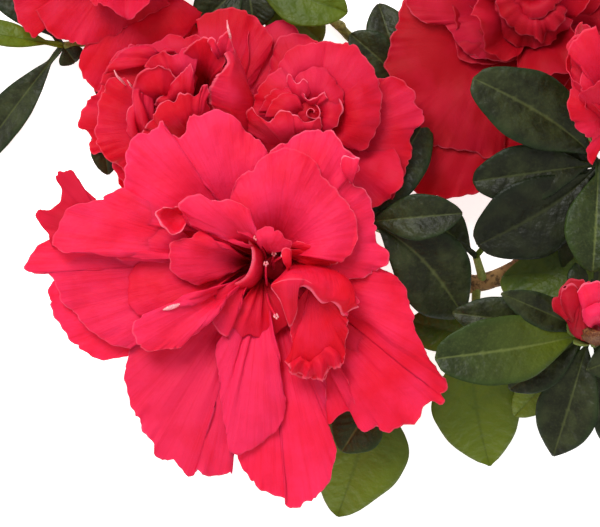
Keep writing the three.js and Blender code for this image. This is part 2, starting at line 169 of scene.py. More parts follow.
@dataclass(kw_only=True)
class Finish:
    """What all petals share. curl lifts the margin, and each of the folds is a crease along the petal:
    its place from 0 to 1 along the margin, its height and its width. tone is how deep the red is, from 0
    to 1; it is set high on petals that lie in shade, so it is partly painted shade. dark is how far from
    the foot, in millimetres, painted throat shade reaches. Without them tone and look, the material, are
    the bloom's."""

    curl: float = 0.0
    folds: tuple = ()
    tone: float | None = None
    dark: float = 0.0
    look: int | None = None


@dataclass
class Petal(Finish):
    """A petal that hardly shows, worked out: which way it points, its length and the half angle it fans
    through, its slope at the foot (rise) and at the tip (lay), how it is cupped and ruffled, how high it
    sits and how uneven its edge is. Angles are in degrees and lengths in millimetres. frill and crumple
    are how high its margin and its swellings wave, and pale is how much of the painted highlight on its
    hem shows, here and in the other kinds."""

    turn: float
    reach: float
    fan: float
    rise: float
    lay: float
    cup: float = 0.02
    ruffle: float = 1.4
    waves: float = 2.0
    phase: float = 0.0
    seat: float = 4.0
    edge: float = 0.04
    frill: float = 1.0
    crumple: float = 0.35
    pale: float = 0.15


@dataclass
class Drawn(Finish):
    """A petal that shows: its foot (pixel and height), its height and the pixels of its margin, once
    along it. A third number in a margin point lifts it. belly arches the petal, and steep is how fast it
    climbs."""

    foot: tuple
    high: float
    margin: tuple
    belly: float = 1.5
    frill: float = 1.0
    crumple: float = 0.3
    steep: float = 2.6
    pale: float = 0.25


@dataclass
class Ribbed(Finish):
    """A petal that folds back on itself: its ribs from foot to margin, each by pixels and heights. crest
    is the share of its ribs up to which its top fold gets the painted highlight as well as its margin."""

    ribs: tuple
    frill: float = 0.5
    crumple: float = 0.1
    crest: float = 0.0
    pale: float = 0.9


@dataclass
class Rolled(Finish):
    """A petal rolled up like a scroll: its middle by pixel, its lowest and highest height, its widest
    radius in pixels, how many turns it makes and where it starts."""

    middle: tuple
    low: float
    high: float
    widest: float
    turns: float
    start: float = 0.0
    pale: float = 0.5


@dataclass
class Bloom:
    """A bloom: its usual look and tone, its foot, how far it leans and which way in degrees, what carries
    it, the middle of the painted shade in its throat (pixel and height) and its petals. stamens and
    threads are lines of pixels and heights, a thread with its thickness, and furled is a bud's outline by
    radii and heights."""

    look: int
    foot: tuple
    tilt: float
    toward: float
    carrier: tuple
    throat: tuple
    tone: float
    petals: list
    stamens: tuple = ()
    threads: tuple = ()
    furled: tuple = ()


@dataclass
class Leaf:
    """One leaf: which way it points, its length and width, how it lifts and rolls in degrees, and its
    green. bow is how far it bends sideways, sharp how pointed it is and full how far out it is widest.
    glow is how yellow its tip is, or its foot where it is below 0, and tone is painted shade, how much
    blacker it is drawn because it is turned away from the light, from 0 to 1."""

    turn: float
    long: float
    wide: float
    lift: float
    roll: float = 0.0
    green: int = DARK
    bow: float = 0.0
    sharp: float = 0.4
    full: float = 1.2
    glow: float = 0.0
    tone: float = 0.0


def ring(count, start, reach, fan, rise, lay, seat=4, **more):
    """A ring of like petals, each a little different from the next."""
    petals = []
    for i in range(count):
        turn = start + 360 * i / count + 7 * math.sin(GOLDEN * i)
        length = reach * (1 + 0.07 * math.sin(3.1 * i))
        own_seat = seat + RING_STEP * (i % 2)
        petals.append(Petal(turn, length, fan, rise, lay, seat=own_seat, phase=1.3 * i, **more))
    return petals


STEM_TIP = (-1, -3, 7.5)
ROSE_TIP = (9, 19, 5)
UPPER_LEFT_TIP = (-8, 17.5, 5)
FAR_LEFT_TIP = (-34, 52, 3.5)
TOP_TIP = (-8, 57, 8)
TOP_RIGHT_TIP = (53, 42, 4)
RIGHT_TIP = (59, 19.8, 22)
LOWER_RIGHT_TIP = (57.6, -13.8, 18)
FAR_RIGHT_TIP = (71, -16.3, 13)
BOTTOM_TIP = (16.5, -25.5, 10)

# Each limb: its route, and its radius at its foot and at its tip
LIMBS = {
    "main_stem": (
        [(98, 46, 2.6), (80, 33, 3.6), (60, 12, 5.5), (40, -3, 7), (18, -4.5, 7.5), STEM_TIP], 2.6, 1.5
    ),
    "bough_rose": ([(26, -4.2, 7.4), (19, 6, 6), (13, 14, 5.2), ROSE_TIP], 1.6, 1.1),
    "bough_upper_left": ([(15.5, 10.5, 5.6), (6, 13, 3.4), (-2, 16, 3), UPPER_LEFT_TIP], 1.3, 1.0),
    "bough_far_left": ([(-3, 16.2, 3.4), (-15, 27, 2), (-27, 38, 2), FAR_LEFT_TIP], 1.1, 0.9),
    "bough_top": ([(12, 15.5, 5.1), (18, 26, 3), (15, 40, 2.6), (4, 52, 3.5), TOP_TIP], 1.2, 0.9),
    "bough_top_right": ([(73, 26.5, 4.2), (66, 34, 2.6), (59, 40, 2.8), TOP_RIGHT_TIP], 1.7, 1.1),
    "bough_right": ([(66, 19, 4.9), (62.5, 19.5, 9), (60, 19.8, 16), RIGHT_TIP], 1.6, 1.1),
    "bough_lower_right": ([(52, 5, 6.2), (56, -4, 7), (57.4, -11, 11), LOWER_RIGHT_TIP], 1.6, 1.0),
    "bough_far_right": ([(57, -6, 7.6), (62, -11, 6.5), (68, -15, 9), FAR_RIGHT_TIP], 1.2, 0.9),
    "bough_bottom": ([(30, -4, 7.3), (25, -12, 5.2), (20, -20, 6), BOTTOM_TIP], 1.4, 0.9),
}

# The large bloom in front
FRONT = Bloom(
    look=PETAL_LOOK,
    foot=(-5.2, -1.5, 15),
    tilt=6,
    toward=60,
    carrier=STEM_TIP,
    throat=(271, 257, 21),
    tone=0.3,
    petals=[
        *ring(6, 20, 17, 42, 62, 10, seat=0, crumple=0.3, frill=0.4),
        Petal(88, 23, 40, 60, 2, seat=1, tone=0.9),
        # Lowest on the left
        Drawn((258, 268, 19), 26,
              ((128, 356, 1), (118, 358), (103, 360), (88, 354), (73, 343), (60, 325), (50, 306, 1),
               (49, 290, 1), (54, 280, 2), (70, 262, 3), (100, 250, 4)),
              frill=0.7),
        # Right, at the back
        Drawn((280, 275, 18), 27,
              ((326, 400), (328, 424), (336, 419), (343, 412), (349, 411), (355, 414), (360, 424),
               (366, 400), (368, 370, 1), (372, 340, 1)),
              frill=0.5, tone=0.5),
        # Right, large, with its margin rolled up
        Drawn((278, 266, 19), 29,
              ((350, 256, 3), (370, 262, 2), (383, 270, 1), (395, 275, 1), (406, 290, 1), (411, 310, 1),
               (415, 328, 2), (424, 348, 2), (435, 366, 2), (447, 381, 1), (447, 390), (441, 396),
               (446, 400), (442, 405), (432, 401), (425, 404), (422, 411), (420, 419), (414, 424),
               (405, 425), (398, 428), (391, 433), (383, 431), (377, 425), (373, 430), (366, 432),
               (360, 430), (357, 423), (357, 415), (354, 400), (348, 380, 1)),
              frill=1.2, tone=0.55,
              folds=((0.3, 0.5, 0.05), (0.66, 0.6, 0.025), (0.74, -0.5, 0.02), (0.84, 0.7, 0.025))),
        # Second on the left, with a blunt tip
        Drawn((255, 264, 20), 29,
              ((80, 240, 2), (49, 241, 1), (41, 244), (34, 249), (29, 258), (25, 268), (29, 272), (37, 271),
               (48, 272), (53, 278), (56, 286), (62, 302), (78, 318), (93, 333), (112, 344), (130, 349)),
              frill=0.5, crumple=0.4, tone=0.35),
        # Upper left, with two pointed tips
        Drawn((118, 244, 27), 30.5,
              ((96, 199), (89, 193), (81, 185), (75, 176), (72, 171), (63, 170, 1), (56, 173, 1), (57, 180),
               (61, 190), (60, 200), (54, 208), (46, 210), (37, 209, 1), (37, 218), (43, 228), (49, 237),
               (52, 247)),
              frill=0.3, crumple=0.4, belly=0.3, tone=0.1, pale=0, look=DEEP_LOOK),
        Drawn((255, 258, 21), 32,
              ((135, 200, 1), (124, 188), (117, 190), (109, 193), (102, 198), (94, 201), (84, 203),
               (74, 205), (66, 211), (60, 221), (56, 233), (52, 244), (60, 251, 1), (70, 253, 2),
               (90, 250, 2), (115, 253, 2), (142, 259, 2)),
              frill=0.4, crumple=0.5, belly=1.5, tone=0.35, pale=0.2),
        # Bottom left, with lengthwise creases
        Drawn((255, 276, 19), 27,
              ((150, 325, 2), (131, 348), (126, 365), (125, 380), (128, 397), (134, 412), (142, 430),
               (153, 442), (155, 455), (163, 460), (173, 461), (181, 468), (187, 475), (194, 476),
               (196, 469), (203, 473), (212, 476), (224, 475), (232, 474), (228, 464), (234, 456),
               (240, 430, 1)),
              frill=1.3, crumple=0.45, tone=0.1, look=RED_LOOK,
              folds=((0.42, 0.5, 0.04), (0.6, 0.4, 0.03), (0.75, 0.4, 0.04), (0.95, 0.5, 0.02))),
        # Bottom right
        Drawn((270, 276, 19), 27,
              ((238, 430), (238, 457), (245, 472), (252, 482), (264, 491), (276, 497), (287, 499),
               (285, 505), (293, 509), (300, 508), (303, 502), (314, 500), (321, 491), (329, 482),
               (333, 466), (336, 450), (331, 434), (327, 420), (326, 400, 1), (326, 375, 2)),
              frill=1.0, tone=0.2, folds=((0.25, 0.35, 0.04), (0.5, 0.4, 0.04), (0.68, 0.35, 0.04))),
        # Bottom, on top of those two, with a deep double crease
        Drawn((262, 276, 21), 29,
              ((216, 345), (219, 380), (222, 410), (226, 432), (231, 452), (240, 455), (253, 448),
               (266, 440), (278, 428), (285, 414), (286, 398), (282, 380), (280, 355, 1)),
              frill=0.5, tone=0.1, pale=0.1,
              folds=((0.28, -0.6, 0.03), (0.37, 0.5, 0.04), (0.62, 0.35, 0.04))),
        # Upper left, very wide, with a notch in its margin
        Drawn((244, 240, 23), 33,
              ((128, 222, -1), (125, 207, -1), (124, 188, -1), (125, 169), (127, 150), (133, 137),
               (140, 134), (148, 133, 1), (152, 129, 1), (158, 126), (162, 120, 2), (167, 128), (174, 135),
               (181, 139), (185, 131), (187, 122), (190, 115, 1), (200, 115, 1), (205, 113), (211, 110),
               (224, 112), (235, 117), (242, 126), (250, 134), (258, 138), (263, 145), (266, 153),
               (264, 170, -1)),
              frill=0.9, crumple=0.5, belly=1.5, pale=0.3, tone=0.25),
        # Top right
        Drawn((285, 250, 22), 32,
              ((262, 165, 1), (270, 152, 1), (285, 141, 1), (300, 133, 1), (318, 129, 1), (333, 132, 2),
               (341, 141, 3), (347, 151, 3), (358, 158, 3), (356, 167, 2), (349, 176, 2), (354, 184, 1),
               (364, 189), (371, 202), (375, 216), (376, 230), (378, 241), (385, 248), (389, 256),
               (388, 264), (380, 269), (362, 278), (345, 280)),
              frill=1.2, crumple=0.5, tone=0.3, pale=0.5, folds=((0.3, -0.8, 0.03), (0.37, 1.2, 0.03))),
        # The flap at its corner, pale with the full painted highlight along its margin
        Drawn((352, 184, 34), 36,
              ((343, 172), (341, 162, 1), (345, 155, 2), (352, 157, 2), (359, 159, 1)),
              frill=0.3, belly=0.5, pale=1),
        # Middle, large, in front of it
        Drawn((275, 252, 24), 35,
              ((242, 232), (233, 215, 1), (232, 195, 1), (239, 179, 1), (255, 168, 1), (268, 155, 1),
               (282, 149, 1), (297, 150, 1), (311, 159, 1), (322, 178), (341, 198), (353, 214), (358, 232),
               (353, 247), (340, 262)),
              frill=0.5, crumple=0.4, belly=2.5, curl=-0.8, tone=0.35, dark=7),
        # Folded blades beside the throat
        Drawn((282, 252, 27), 34,
              ((297, 241, 2), (316, 246, 2), (330, 254, 1), (339, 264), (322, 262, -1), (304, 256, -2)),
              frill=0.3, belly=1, tone=0.9, pale=0.6),
        Drawn((284, 256, 26), 33,
              ((292, 248, 2), (312, 252, 1), (333, 264), (318, 266, -1), (300, 262, -2)),
              frill=0.3, belly=1, tone=1, dark=5),
        Drawn((290, 280, 31), 38,
              ((284, 262, 1), (282, 250, 2), (286, 246, 2), (290, 250, 1), (291, 262)),
              frill=0.2, belly=0.5, tone=0.9, pale=0.4),
        # Small petals left of the throat
        Drawn((245, 268, 22), 31,
              ((165, 256), (142, 260, -1), (130, 275, -1), (128, 290), (130, 305), (142, 318), (160, 314),
               (185, 304), (208, 292)),
              frill=0.2, crumple=0.4, belly=2, pale=0, tone=0.7, dark=6),
        Drawn((252, 276, 23), 34,
              ((190, 294), (168, 305), (147, 315), (133, 323, 1), (134, 336), (138, 346, -1),
               (150, 351, -1), (163, 349), (179, 347), (191, 337), (203, 327), (212, 317), (222, 302)),
              frill=0.8, crumple=0.5, belly=2, folds=((0.28, 1.0, 0.04),), dark=6),
        Drawn((210, 254, 26), 32,
              ((168, 262, -1), (140, 261, -1), (116, 257), (122, 248), (130, 243), (127, 239), (134, 236),
               (145, 236), (153, 228), (160, 221), (172, 222)),
              frill=0.3, crumple=0.35, belly=1),
        Drawn((254, 270, 25), 31,
              ((218, 290, 1), (213, 308), (213, 323), (219, 331), (226, 338), (233, 325), (240, 306)),
              frill=0.4, crumple=0.3, tone=0.5, dark=6),
        Drawn((262, 274, 25), 29.5,
              ((229, 318, 1), (226, 337), (236, 339), (250, 336), (262, 338, -2), (276, 334, -3),
               (286, 324, -2), (290, 308, -1)),
              frill=0.3, crumple=0.2, pale=0, tone=0.75, dark=9,
              folds=((0.3, 0.5, 0.04), (0.5, 0.5, 0.04), (0.7, 0.4, 0.04))),
        Drawn((252, 262, 25), 34.5,
              ((214, 242), (205, 235, 1), (199, 231, 2), (191, 239, 1), (184, 239, 1), (172, 242, 1),
               (169, 250), (169, 262), (173, 272, -1), (182, 279, -1), (192, 283, -2), (206, 284, -3),
               (218, 280, -4)),
              frill=0.4, crumple=0.5, belly=1.5, tone=0.6, dark=14),
        Drawn((262, 252, 27), 38,
              ((264, 236), (257, 231), (255, 223), (250, 212), (241, 205, 1), (228, 200, 1), (212, 200, 1),
               (202, 195, 1), (191, 195, 1), (181, 200, 1), (179, 206), (184, 215, -1), (188, 224, -2),
               (202, 228, -2), (212, 236, -3), (230, 238, -3), (245, 243, -3)),
              frill=0.4, crumple=0.4, belly=1.5, tone=0.3, pale=0.4),
        # The little cup at its end
        Drawn((182, 214, 35), 38.5,
              ((180, 206, 1), (168, 208, 1), (155, 211, 1), (158, 219), (163, 228), (171, 235), (180, 232),
               (186, 224)),
              frill=0.5, belly=-2.5, pale=0.9, tone=0.7),
        Drawn((268, 254, 28), 38,
              ((256, 236), (260, 228, 1), (267, 226, 1), (275, 231, 1), (285, 238), (292, 242, -1),
               (288, 250, -2)),
              frill=0.5, crumple=0.4, tone=0.6),
        # Upright beside the throat, with its margin turned to the left
        Ribbed((
            ((262, 246, 27), (257, 243, 31), (251, 241, 33), (248, 241, 34)),
            ((264, 256, 27), (260, 253, 32), (255, 251, 34.5), (252, 250, 35)),
            ((264, 266, 26), (260, 265, 32), (255, 264, 34), (251, 264, 34)),
            ((262, 276, 26), (258, 276, 31), (252, 276, 33), (246, 275, 33)),
            ((258, 284, 26), (251, 285, 30), (243, 284, 32), (237, 282, 32)),
            ((252, 291, 26), (243, 291, 29), (233, 288, 31), (225, 284, 31)),
        ), frill=0.2, tone=0.8, pale=0.7),
        # Petal below the lip, drawn deep red for the painted shade the lip casts on it
        Drawn((312, 282, 36), 33,
              ((290, 312, 1), (293, 338), (296, 354), (290, 364), (289, 372), (297, 376), (309, 379),
               (323, 381), (328, 372), (334, 366), (342, 366), (345, 352), (347, 336, 1), (346, 320, 2),
               (344, 308, 3)),
              frill=1.8, crumple=0.45, belly=2, tone=0.95, pale=0.4),
        Ribbed((
            ((301, 356, 35.2), (295, 360, 35), (289, 364, 33.5)),
            ((302, 358, 35.2), (296, 364, 36.2), (291, 374, 34)),
            ((306, 360, 35.2), (302, 366, 34.8), (298, 375, 33)),
            ((310, 362, 35), (309, 370, 36.4), (306, 380, 34.5)),
            ((312, 360, 35), (314, 367, 35), (316, 379, 33)),
            ((315, 357, 35), (321, 366, 35.8), (323, 382, 34.5)),
            ((322, 352, 35.2), (327, 360, 34.8), (328, 370, 33)),
            ((325, 348, 35.2), (334, 356, 36), (337, 368, 34.5)),
            ((330, 346, 35.2), (337, 352, 35), (343, 361, 33.5)),
        ), frill=0.8, crumple=0.3, pale=0.5, tone=0.9),
        # The curled lip
        Ribbed((
            ((286, 270, 28), (279, 277, 36), (272, 285, 40), (271, 287.5, 39.5)),
            ((287, 268, 28), (282, 275, 37), (276, 283, 41), (274, 293, 38.5)),
            ((288, 267, 28), (285, 273, 38), (281, 280.5, 42), (281, 302, 38)),
            ((290, 266, 28), (288, 272, 38.5), (286, 279, 42.5), (286, 318, 37)),
            ((292, 265, 28), (291, 271, 38.5), (290, 278.3, 42.5), (290, 327, 36.5)),
            ((293, 264, 28), (294, 271, 38.5), (294, 278.3, 42.5), (294, 320, 37)),
            ((294, 263, 28), (297, 271, 38.5), (298, 278.6, 42.5), (297.5, 306, 38.5)),
            ((296, 263, 28), (300, 271, 38.5), (301.5, 279, 42.5), (296, 296, 40)),
            ((298, 262, 28), (304, 271, 38.5), (305, 279.8, 42), (298, 288, 41)),
            ((300, 262, 28), (308, 272, 38.5), (309, 282, 42), (303, 286, 41.3)),
            ((303, 262, 28), (313, 272, 38), (315, 285, 41.7), (309.5, 290, 40.8)),
            ((306, 262, 28), (320, 273, 37.5), (322, 290, 41), (316, 298, 39.5)),
            ((310, 262, 28), (328, 274, 37), (330, 296.5, 40), (322, 303, 38.8)),
            ((314, 263, 28), (335, 275, 36.5), (339, 298, 39.3), (331, 301.5, 38.7)),
            ((318, 264, 28), (342, 277, 36), (346, 300, 38.8), (338, 307, 38)),
            ((321, 266, 28), (347, 280, 35.5), (350, 299, 38.2), (343, 316, 36.5)),
            ((323, 268, 28), (351, 284, 35), (354, 301, 37.5), (351, 310, 36.3)),
            ((324, 270, 28), (352, 290, 34.5), (355, 304, 37), (359, 307, 36.3)),
        ), frill=0.15, crumple=0.05, crest=0.55, pale=1, tone=0.8),
        # The crumpled end beside it
        Drawn((344, 292, 33), 36,
              ((338, 300), (343, 312), (347, 316, 1), (350, 309), (355, 307, 1), (360, 303), (356, 296)),
              frill=0.8, belly=0.5),
    ],
    stamens=(
        ((266, 262, 20), (264, 252, 30), (256, 238, 37.5)),
        ((268, 290, 24), (266, 276, 33), (266, 264, 36.5)),
        ((274, 270, 20), (274, 262, 30), (283, 256, 37.5)),
        ((266, 290, 26), (270, 305, 33), (276, 316, 35)),
        ((270, 266, 20), (272, 262, 28), (274, 254, 34)),
    ),
    # A thin pale thread lying on the petals left of the throat: a painted highlight along a crease, not a
    # stamen
    threads=((0.4, ((188, 301, 35.6), (175, 306, 36), (162, 310, 35.6))),),
)

# The crumpled bloom behind it on the left
UPPER_LEFT = Bloom(
    look=RED_LOOK,
    foot=(-15.5, 21, 7.5),
    tilt=24,
    toward=128,
    carrier=UPPER_LEFT_TIP,
    throat=(178, 100, 10),
    tone=0.7,
    petals=[
        Petal(138, 30, 34, 66, -5, seat=3),
        Petal(92, 30, 34, 66, -3, seat=4.6),
        Petal(48, 30, 32, 66, -6, seat=3),
        Petal(216, 23, 34, 66, 0, seat=3),
        # Outer, left and top
        Drawn((190, 130, 13), 19,
              ((130, 188), (122, 182), (117, 172), (111, 162), (104, 153), (94, 154), (88, 149), (89, 139),
               (87, 130), (78, 128), (79, 118), (84, 108), (89, 98), (98, 93), (103, 80)),
              frill=1.0, crumple=0.6),
        Drawn((190, 110, 13), 19,
              ((100, 84), (108, 66), (118, 52), (132, 44), (147, 43), (160, 40), (172, 35), (186, 38),
               (198, 36), (208, 48)),
              frill=1.0, crumple=0.8),
        Drawn((215, 120, 12), 17,
              ((196, 20), (208, 12), (222, 9), (238, 8), (252, 15), (264, 26), (272, 38), (270, 52),
               (262, 66), (256, 84), (252, 104)),
              frill=0.7, crumple=0.5),
        *ring(5, 40, 15, 44, 66, 22, seat=3, crumple=0.5),
        Drawn((172, 130, 16), 23,
              ((128, 172, -3), (118, 167), (107, 158), (98, 146), (95, 134), (96, 120), (98, 106),
               (100, 94), (105, 84), (113, 78), (122, 79), (130, 86, -1)),
              frill=1.5, crumple=0.5),
        Drawn((186, 60, 13), 21,
              ((104, 74), (112, 62), (124, 52), (140, 48), (154, 52), (166, 48), (178, 54), (186, 70)),
              frill=0.9, crumple=1.0),
        # Crumpled, standing inside
        Drawn((148, 152, 16), 27,
              ((126, 132, -3), (128, 114), (131, 98), (134, 88, 1), (138, 84, 1), (141, 92, -1),
               (144, 86, 1), (148, 80, 1), (151, 86, -1), (153, 98, -2), (155, 114, -4)),
              frill=0.5, crumple=0.3, pale=0.5, tone=0.6,
              folds=((0.27, 1.3, 0.06), (0.45, -1.3, 0.05), (0.62, 1.3, 0.06), (0.8, -1.0, 0.05))),
        Drawn((172, 116, 16), 28,
              ((150, 110, -5), (140, 92, -3), (138, 80), (143, 71), (154, 69, 1), (166, 73, 1), (174, 82),
               (176, 96, -2)),
              frill=1.6, crumple=0.9, curl=-1.2, pale=0.6),
        Drawn((192, 108, 18), 26,
              ((148, 66, -3), (153, 56), (162, 51, 1), (172, 57), (181, 50, 1), (190, 47, 1), (198, 56)),
              frill=1.4, crumple=0.9, tone=0.6),
        Drawn((207, 86, 16), 30,
              ((181, 62, -4), (184, 52, -1), (189, 46), (196, 41), (204, 36, 1), (213, 43), (220, 51),
               (225, 58), (222, 70, -2)),
              frill=1.3, crumple=0.7, belly=-1, tone=1, pale=0.6, dark=12),
        Drawn((224, 68, 21), 31,
              ((211, 50), (207, 40), (213, 37, 1), (217, 44), (221, 37, 1), (228, 31, 1), (231, 40),
               (235, 49), (233, 60, -2)),
              frill=0.7, crumple=0.5, belly=1, pale=0.8),
        Drawn((186, 120, 18), 29.5,
              ((152, 112, -5), (156, 103, -2), (164, 92), (173, 82), (178, 76), (184, 70), (190, 62, 1),
               (192, 74), (193, 90, -2)),
              frill=1.5, crumple=0.7, belly=1, pale=0.5),
        Drawn((196, 146, 18), 30.5,
              ((140, 138, -6), (148, 124, -3), (155, 113), (160, 105), (166, 99, 1), (173, 102),
               (180, 97, 1), (188, 95), (197, 92, 1), (204, 86, 1), (208, 84), (211, 96, -1),
               (212, 110, -4)),
              frill=1.8, crumple=0.8, tone=0.7, pale=0.6),
        # Folded, with its lit outside to the right
        Ribbed((
            ((236, 53, 24), (235, 50, 28), (230, 49, 31), (224, 54, 31)),
            ((243, 68, 22), (240, 65, 28), (234, 63, 31.5), (227, 63, 31)),
            ((248, 84, 20), (245, 81, 28), (231, 77, 32), (216, 76, 30)),
            ((253, 98, 18), (250, 96, 27), (231, 94, 31.5), (210, 87, 29)),
            ((257, 112, 17), (253, 110, 26), (233, 108, 30.5), (209, 98, 28)),
            ((260, 126, 16), (256, 124, 24), (237, 121, 29), (213, 110, 27)),
            ((258, 142, 14), (253, 138, 21), (239, 134, 26), (219, 124, 24)),
        ), frill=0.5, crumple=0.3, tone=0.7, pale=1),
    ],
    threads=(
        (0.2, ((128, 88, 22), (121, 80, 27), (117, 76, 28.4), (114, 70, 28.6))),
        (0.16, ((134, 90, 22), (130, 84, 27), (127, 80, 28))),
        (0.2, ((231, 46, 27), (230, 36, 31), (228, 28, 32), (227, 20, 32.5))),
    ),
)

# The bloom behind it that is rolled up in the middle like a rose
ROSE = Bloom(
    look=RED_LOOK,
    foot=(3.5, 24.5, 10),
    tilt=14,
    toward=120,
    carrier=ROSE_TIP,
    throat=(312, 124, 6),
    tone=0.7,
    petals=[
        Petal(-42, 24, 34, 66, 8, seat=2.4),
        Petal(160, 17, 38, 70, 20, seat=4),
        *ring(5, 30, 14, 44, 66, 22, seat=2, crumple=0.4),
        Drawn((310, 112, 11), 16,
              ((270, 78), (270, 60), (274, 47), (280, 37), (293, 33), (307, 36), (320, 42)),
              frill=0.4, crumple=0.4),
        # Outer right
        Drawn((328, 142, 14), 22.5,
              ((362, 76, 1), (377, 79), (394, 77), (406, 83), (415, 92), (416, 98), (413, 102), (425, 112),
               (424, 120), (415, 130), (411, 142), (412, 153), (409, 164), (401, 182), (392, 200),
               (376, 210), (352, 206)),
              frill=0.7, crumple=0.3, dark=17),
        # Inner right, large
        Drawn((314, 124, 17), 27,
              ((326, 42, -1), (341, 42), (356, 46), (368, 62), (377, 77), (382, 96), (381, 115), (375, 134),
               (364, 150, -1), (348, 150, -1)),
              frill=0.4, crumple=0.3, belly=2.5),
        # Top and left
        Drawn((310, 100, 22), 26.5,
              ((275, 78), (279, 64), (286, 53), (298, 46), (310, 43), (329, 42), (345, 48, -1)),
              frill=0.5, crumple=0.4),
        Drawn((304, 116, 23), 27,
              ((250, 116, -1), (251, 106), (254, 96), (260, 86), (266, 78), (275, 71), (286, 66)),
              frill=0.7, crumple=0.5),
        Drawn((314, 110, 25), 28.5,
              ((291, 94, -2), (296, 80), (304, 70), (320, 67), (334, 78), (342, 92), (343, 104, -1)),
              frill=0.4, crumple=0.4, pale=0.1),
        Drawn((316, 116, 26), 29.5,
              ((320, 97, -2), (330, 92), (337, 97), (343, 106), (341, 116), (336, 126), (331, 132),
               (324, 136, -3)),
              frill=0.5, crumple=0.4, belly=1, tone=0.6, pale=0.7),
        Drawn((306, 112, 26), 28.5,
              ((258, 112, -1), (262, 101), (269, 92), (279, 86), (291, 84)),
              frill=0.8, crumple=0.6),
        Drawn((300, 110, 26), 30,
              ((286, 82, -2), (288, 72), (293, 79), (299, 83, 1), (304, 77), (308, 82), (311, 92, -2)),
              frill=0.1, crumple=0.2, belly=1, pale=0.9),
        Drawn((312, 108, 27), 30.5,
              ((298, 92, -1), (301, 89), (305, 96), (310, 99, 1), (317, 97), (324, 92), (328, 98, -1)),
              frill=0.4, crumple=0.3, belly=0.5, pale=0.9, tone=0.6),
        Drawn((305, 116, 26), 29.5,
              ((266, 118, -1), (269, 106), (277, 97), (288, 93), (299, 98)),
              frill=0.8, crumple=0.6, belly=1),
        # Behind, low, towards the front bloom
        Drawn((300, 130, 15), 21,
              ((246, 122), (247, 142), (256, 162), (272, 180), (298, 186), (322, 180)),
              frill=0.6, crumple=0.4, tone=0.9),
        # Lower left, cupped round the middle
        Drawn((294, 156, 19), 31,
              ((243, 130, -7), (246, 113, -2), (251, 106), (256, 114), (262, 119), (270, 122, 1),
               (274, 115), (279, 112), (284, 110, 1), (291, 112), (294, 118), (297, 130, -3)),
              frill=0.5, crumple=0.4, belly=2, tone=0.8, pale=0.8),
        Drawn((307, 146, 21), 31,
              ((286, 124, -2), (290, 116), (295, 114, 1), (300, 118), (306, 121), (313, 121), (319, 117, 1),
               (323, 124, -1), (322, 134, -3)),
              frill=0.4, crumple=0.4, belly=1.5, tone=0.8, pale=0.8),
        Drawn((311, 112, 28.8), 28.2,
              ((325, 112), (321, 122), (311, 127), (300, 122), (296, 112), (300, 102), (311, 97),
               (321, 102), (325, 111)),
              frill=0.3, tone=0.8, belly=0.3),
        Rolled((312, 112), 26.5, 31.2, 9.5, 1.3, start=0.95, tone=0.8, pale=0.9),
    ],
)

# The bloom at the top left, cut by the picture's edge
TOP_LEFT = Bloom(
    look=RED_LOOK,
    foot=(-34, 66, 4.8),
    tilt=8,
    toward=200,
    carrier=FAR_LEFT_TIP,
    throat=(130, -60, 14),
    tone=0.75,
    petals=[
        Petal(168, 28, 36, 66, -4, phase=2, seat=2.6),
        Petal(118, 28, 38, 66, -1, phase=3, seat=4.2),
        Petal(62, 29, 40, 66, -5, phase=4, seat=2.6),
        Petal(4, 25, 40, 66, 2, phase=5, seat=4.2),
        # Those that reach into the picture
        Drawn((150, -20, 9), 14,
              ((98, 10), (88, 40), (80, 58), (80, 70), (85, 81), (94, 87), (97, 93), (104, 84), (122, 70),
               (150, 58), (178, 42), (205, 14)),
              frill=0.6, crumple=0.4),
        Drawn((125, -45, 9), 14,
              ((30, -45), (16, -20), (13, 0), (17, 16), (24, 30), (32, 38), (38, 35), (44, 24), (52, 10)),
              frill=0.7, crumple=0.4),
        Drawn((130, -45, 10), 15,
              ((36, 10), (46, 28), (56, 37), (68, 42), (82, 44), (96, 44), (110, 40), (124, 30), (145, 18),
               (170, 4)),
              frill=0.6, crumple=0.4),
        *ring(5, 56, 20, 36, 76, 26, seat=6, crumple=0.8, frill=1.5),
        *ring(4, 20, 14, 40, 80, 48, cup=0.06, seat=8, crumple=0.9, frill=1.5),
        *ring(5, 50, 16, 44, 66, 16, seat=2, crumple=0.4),
    ],
)

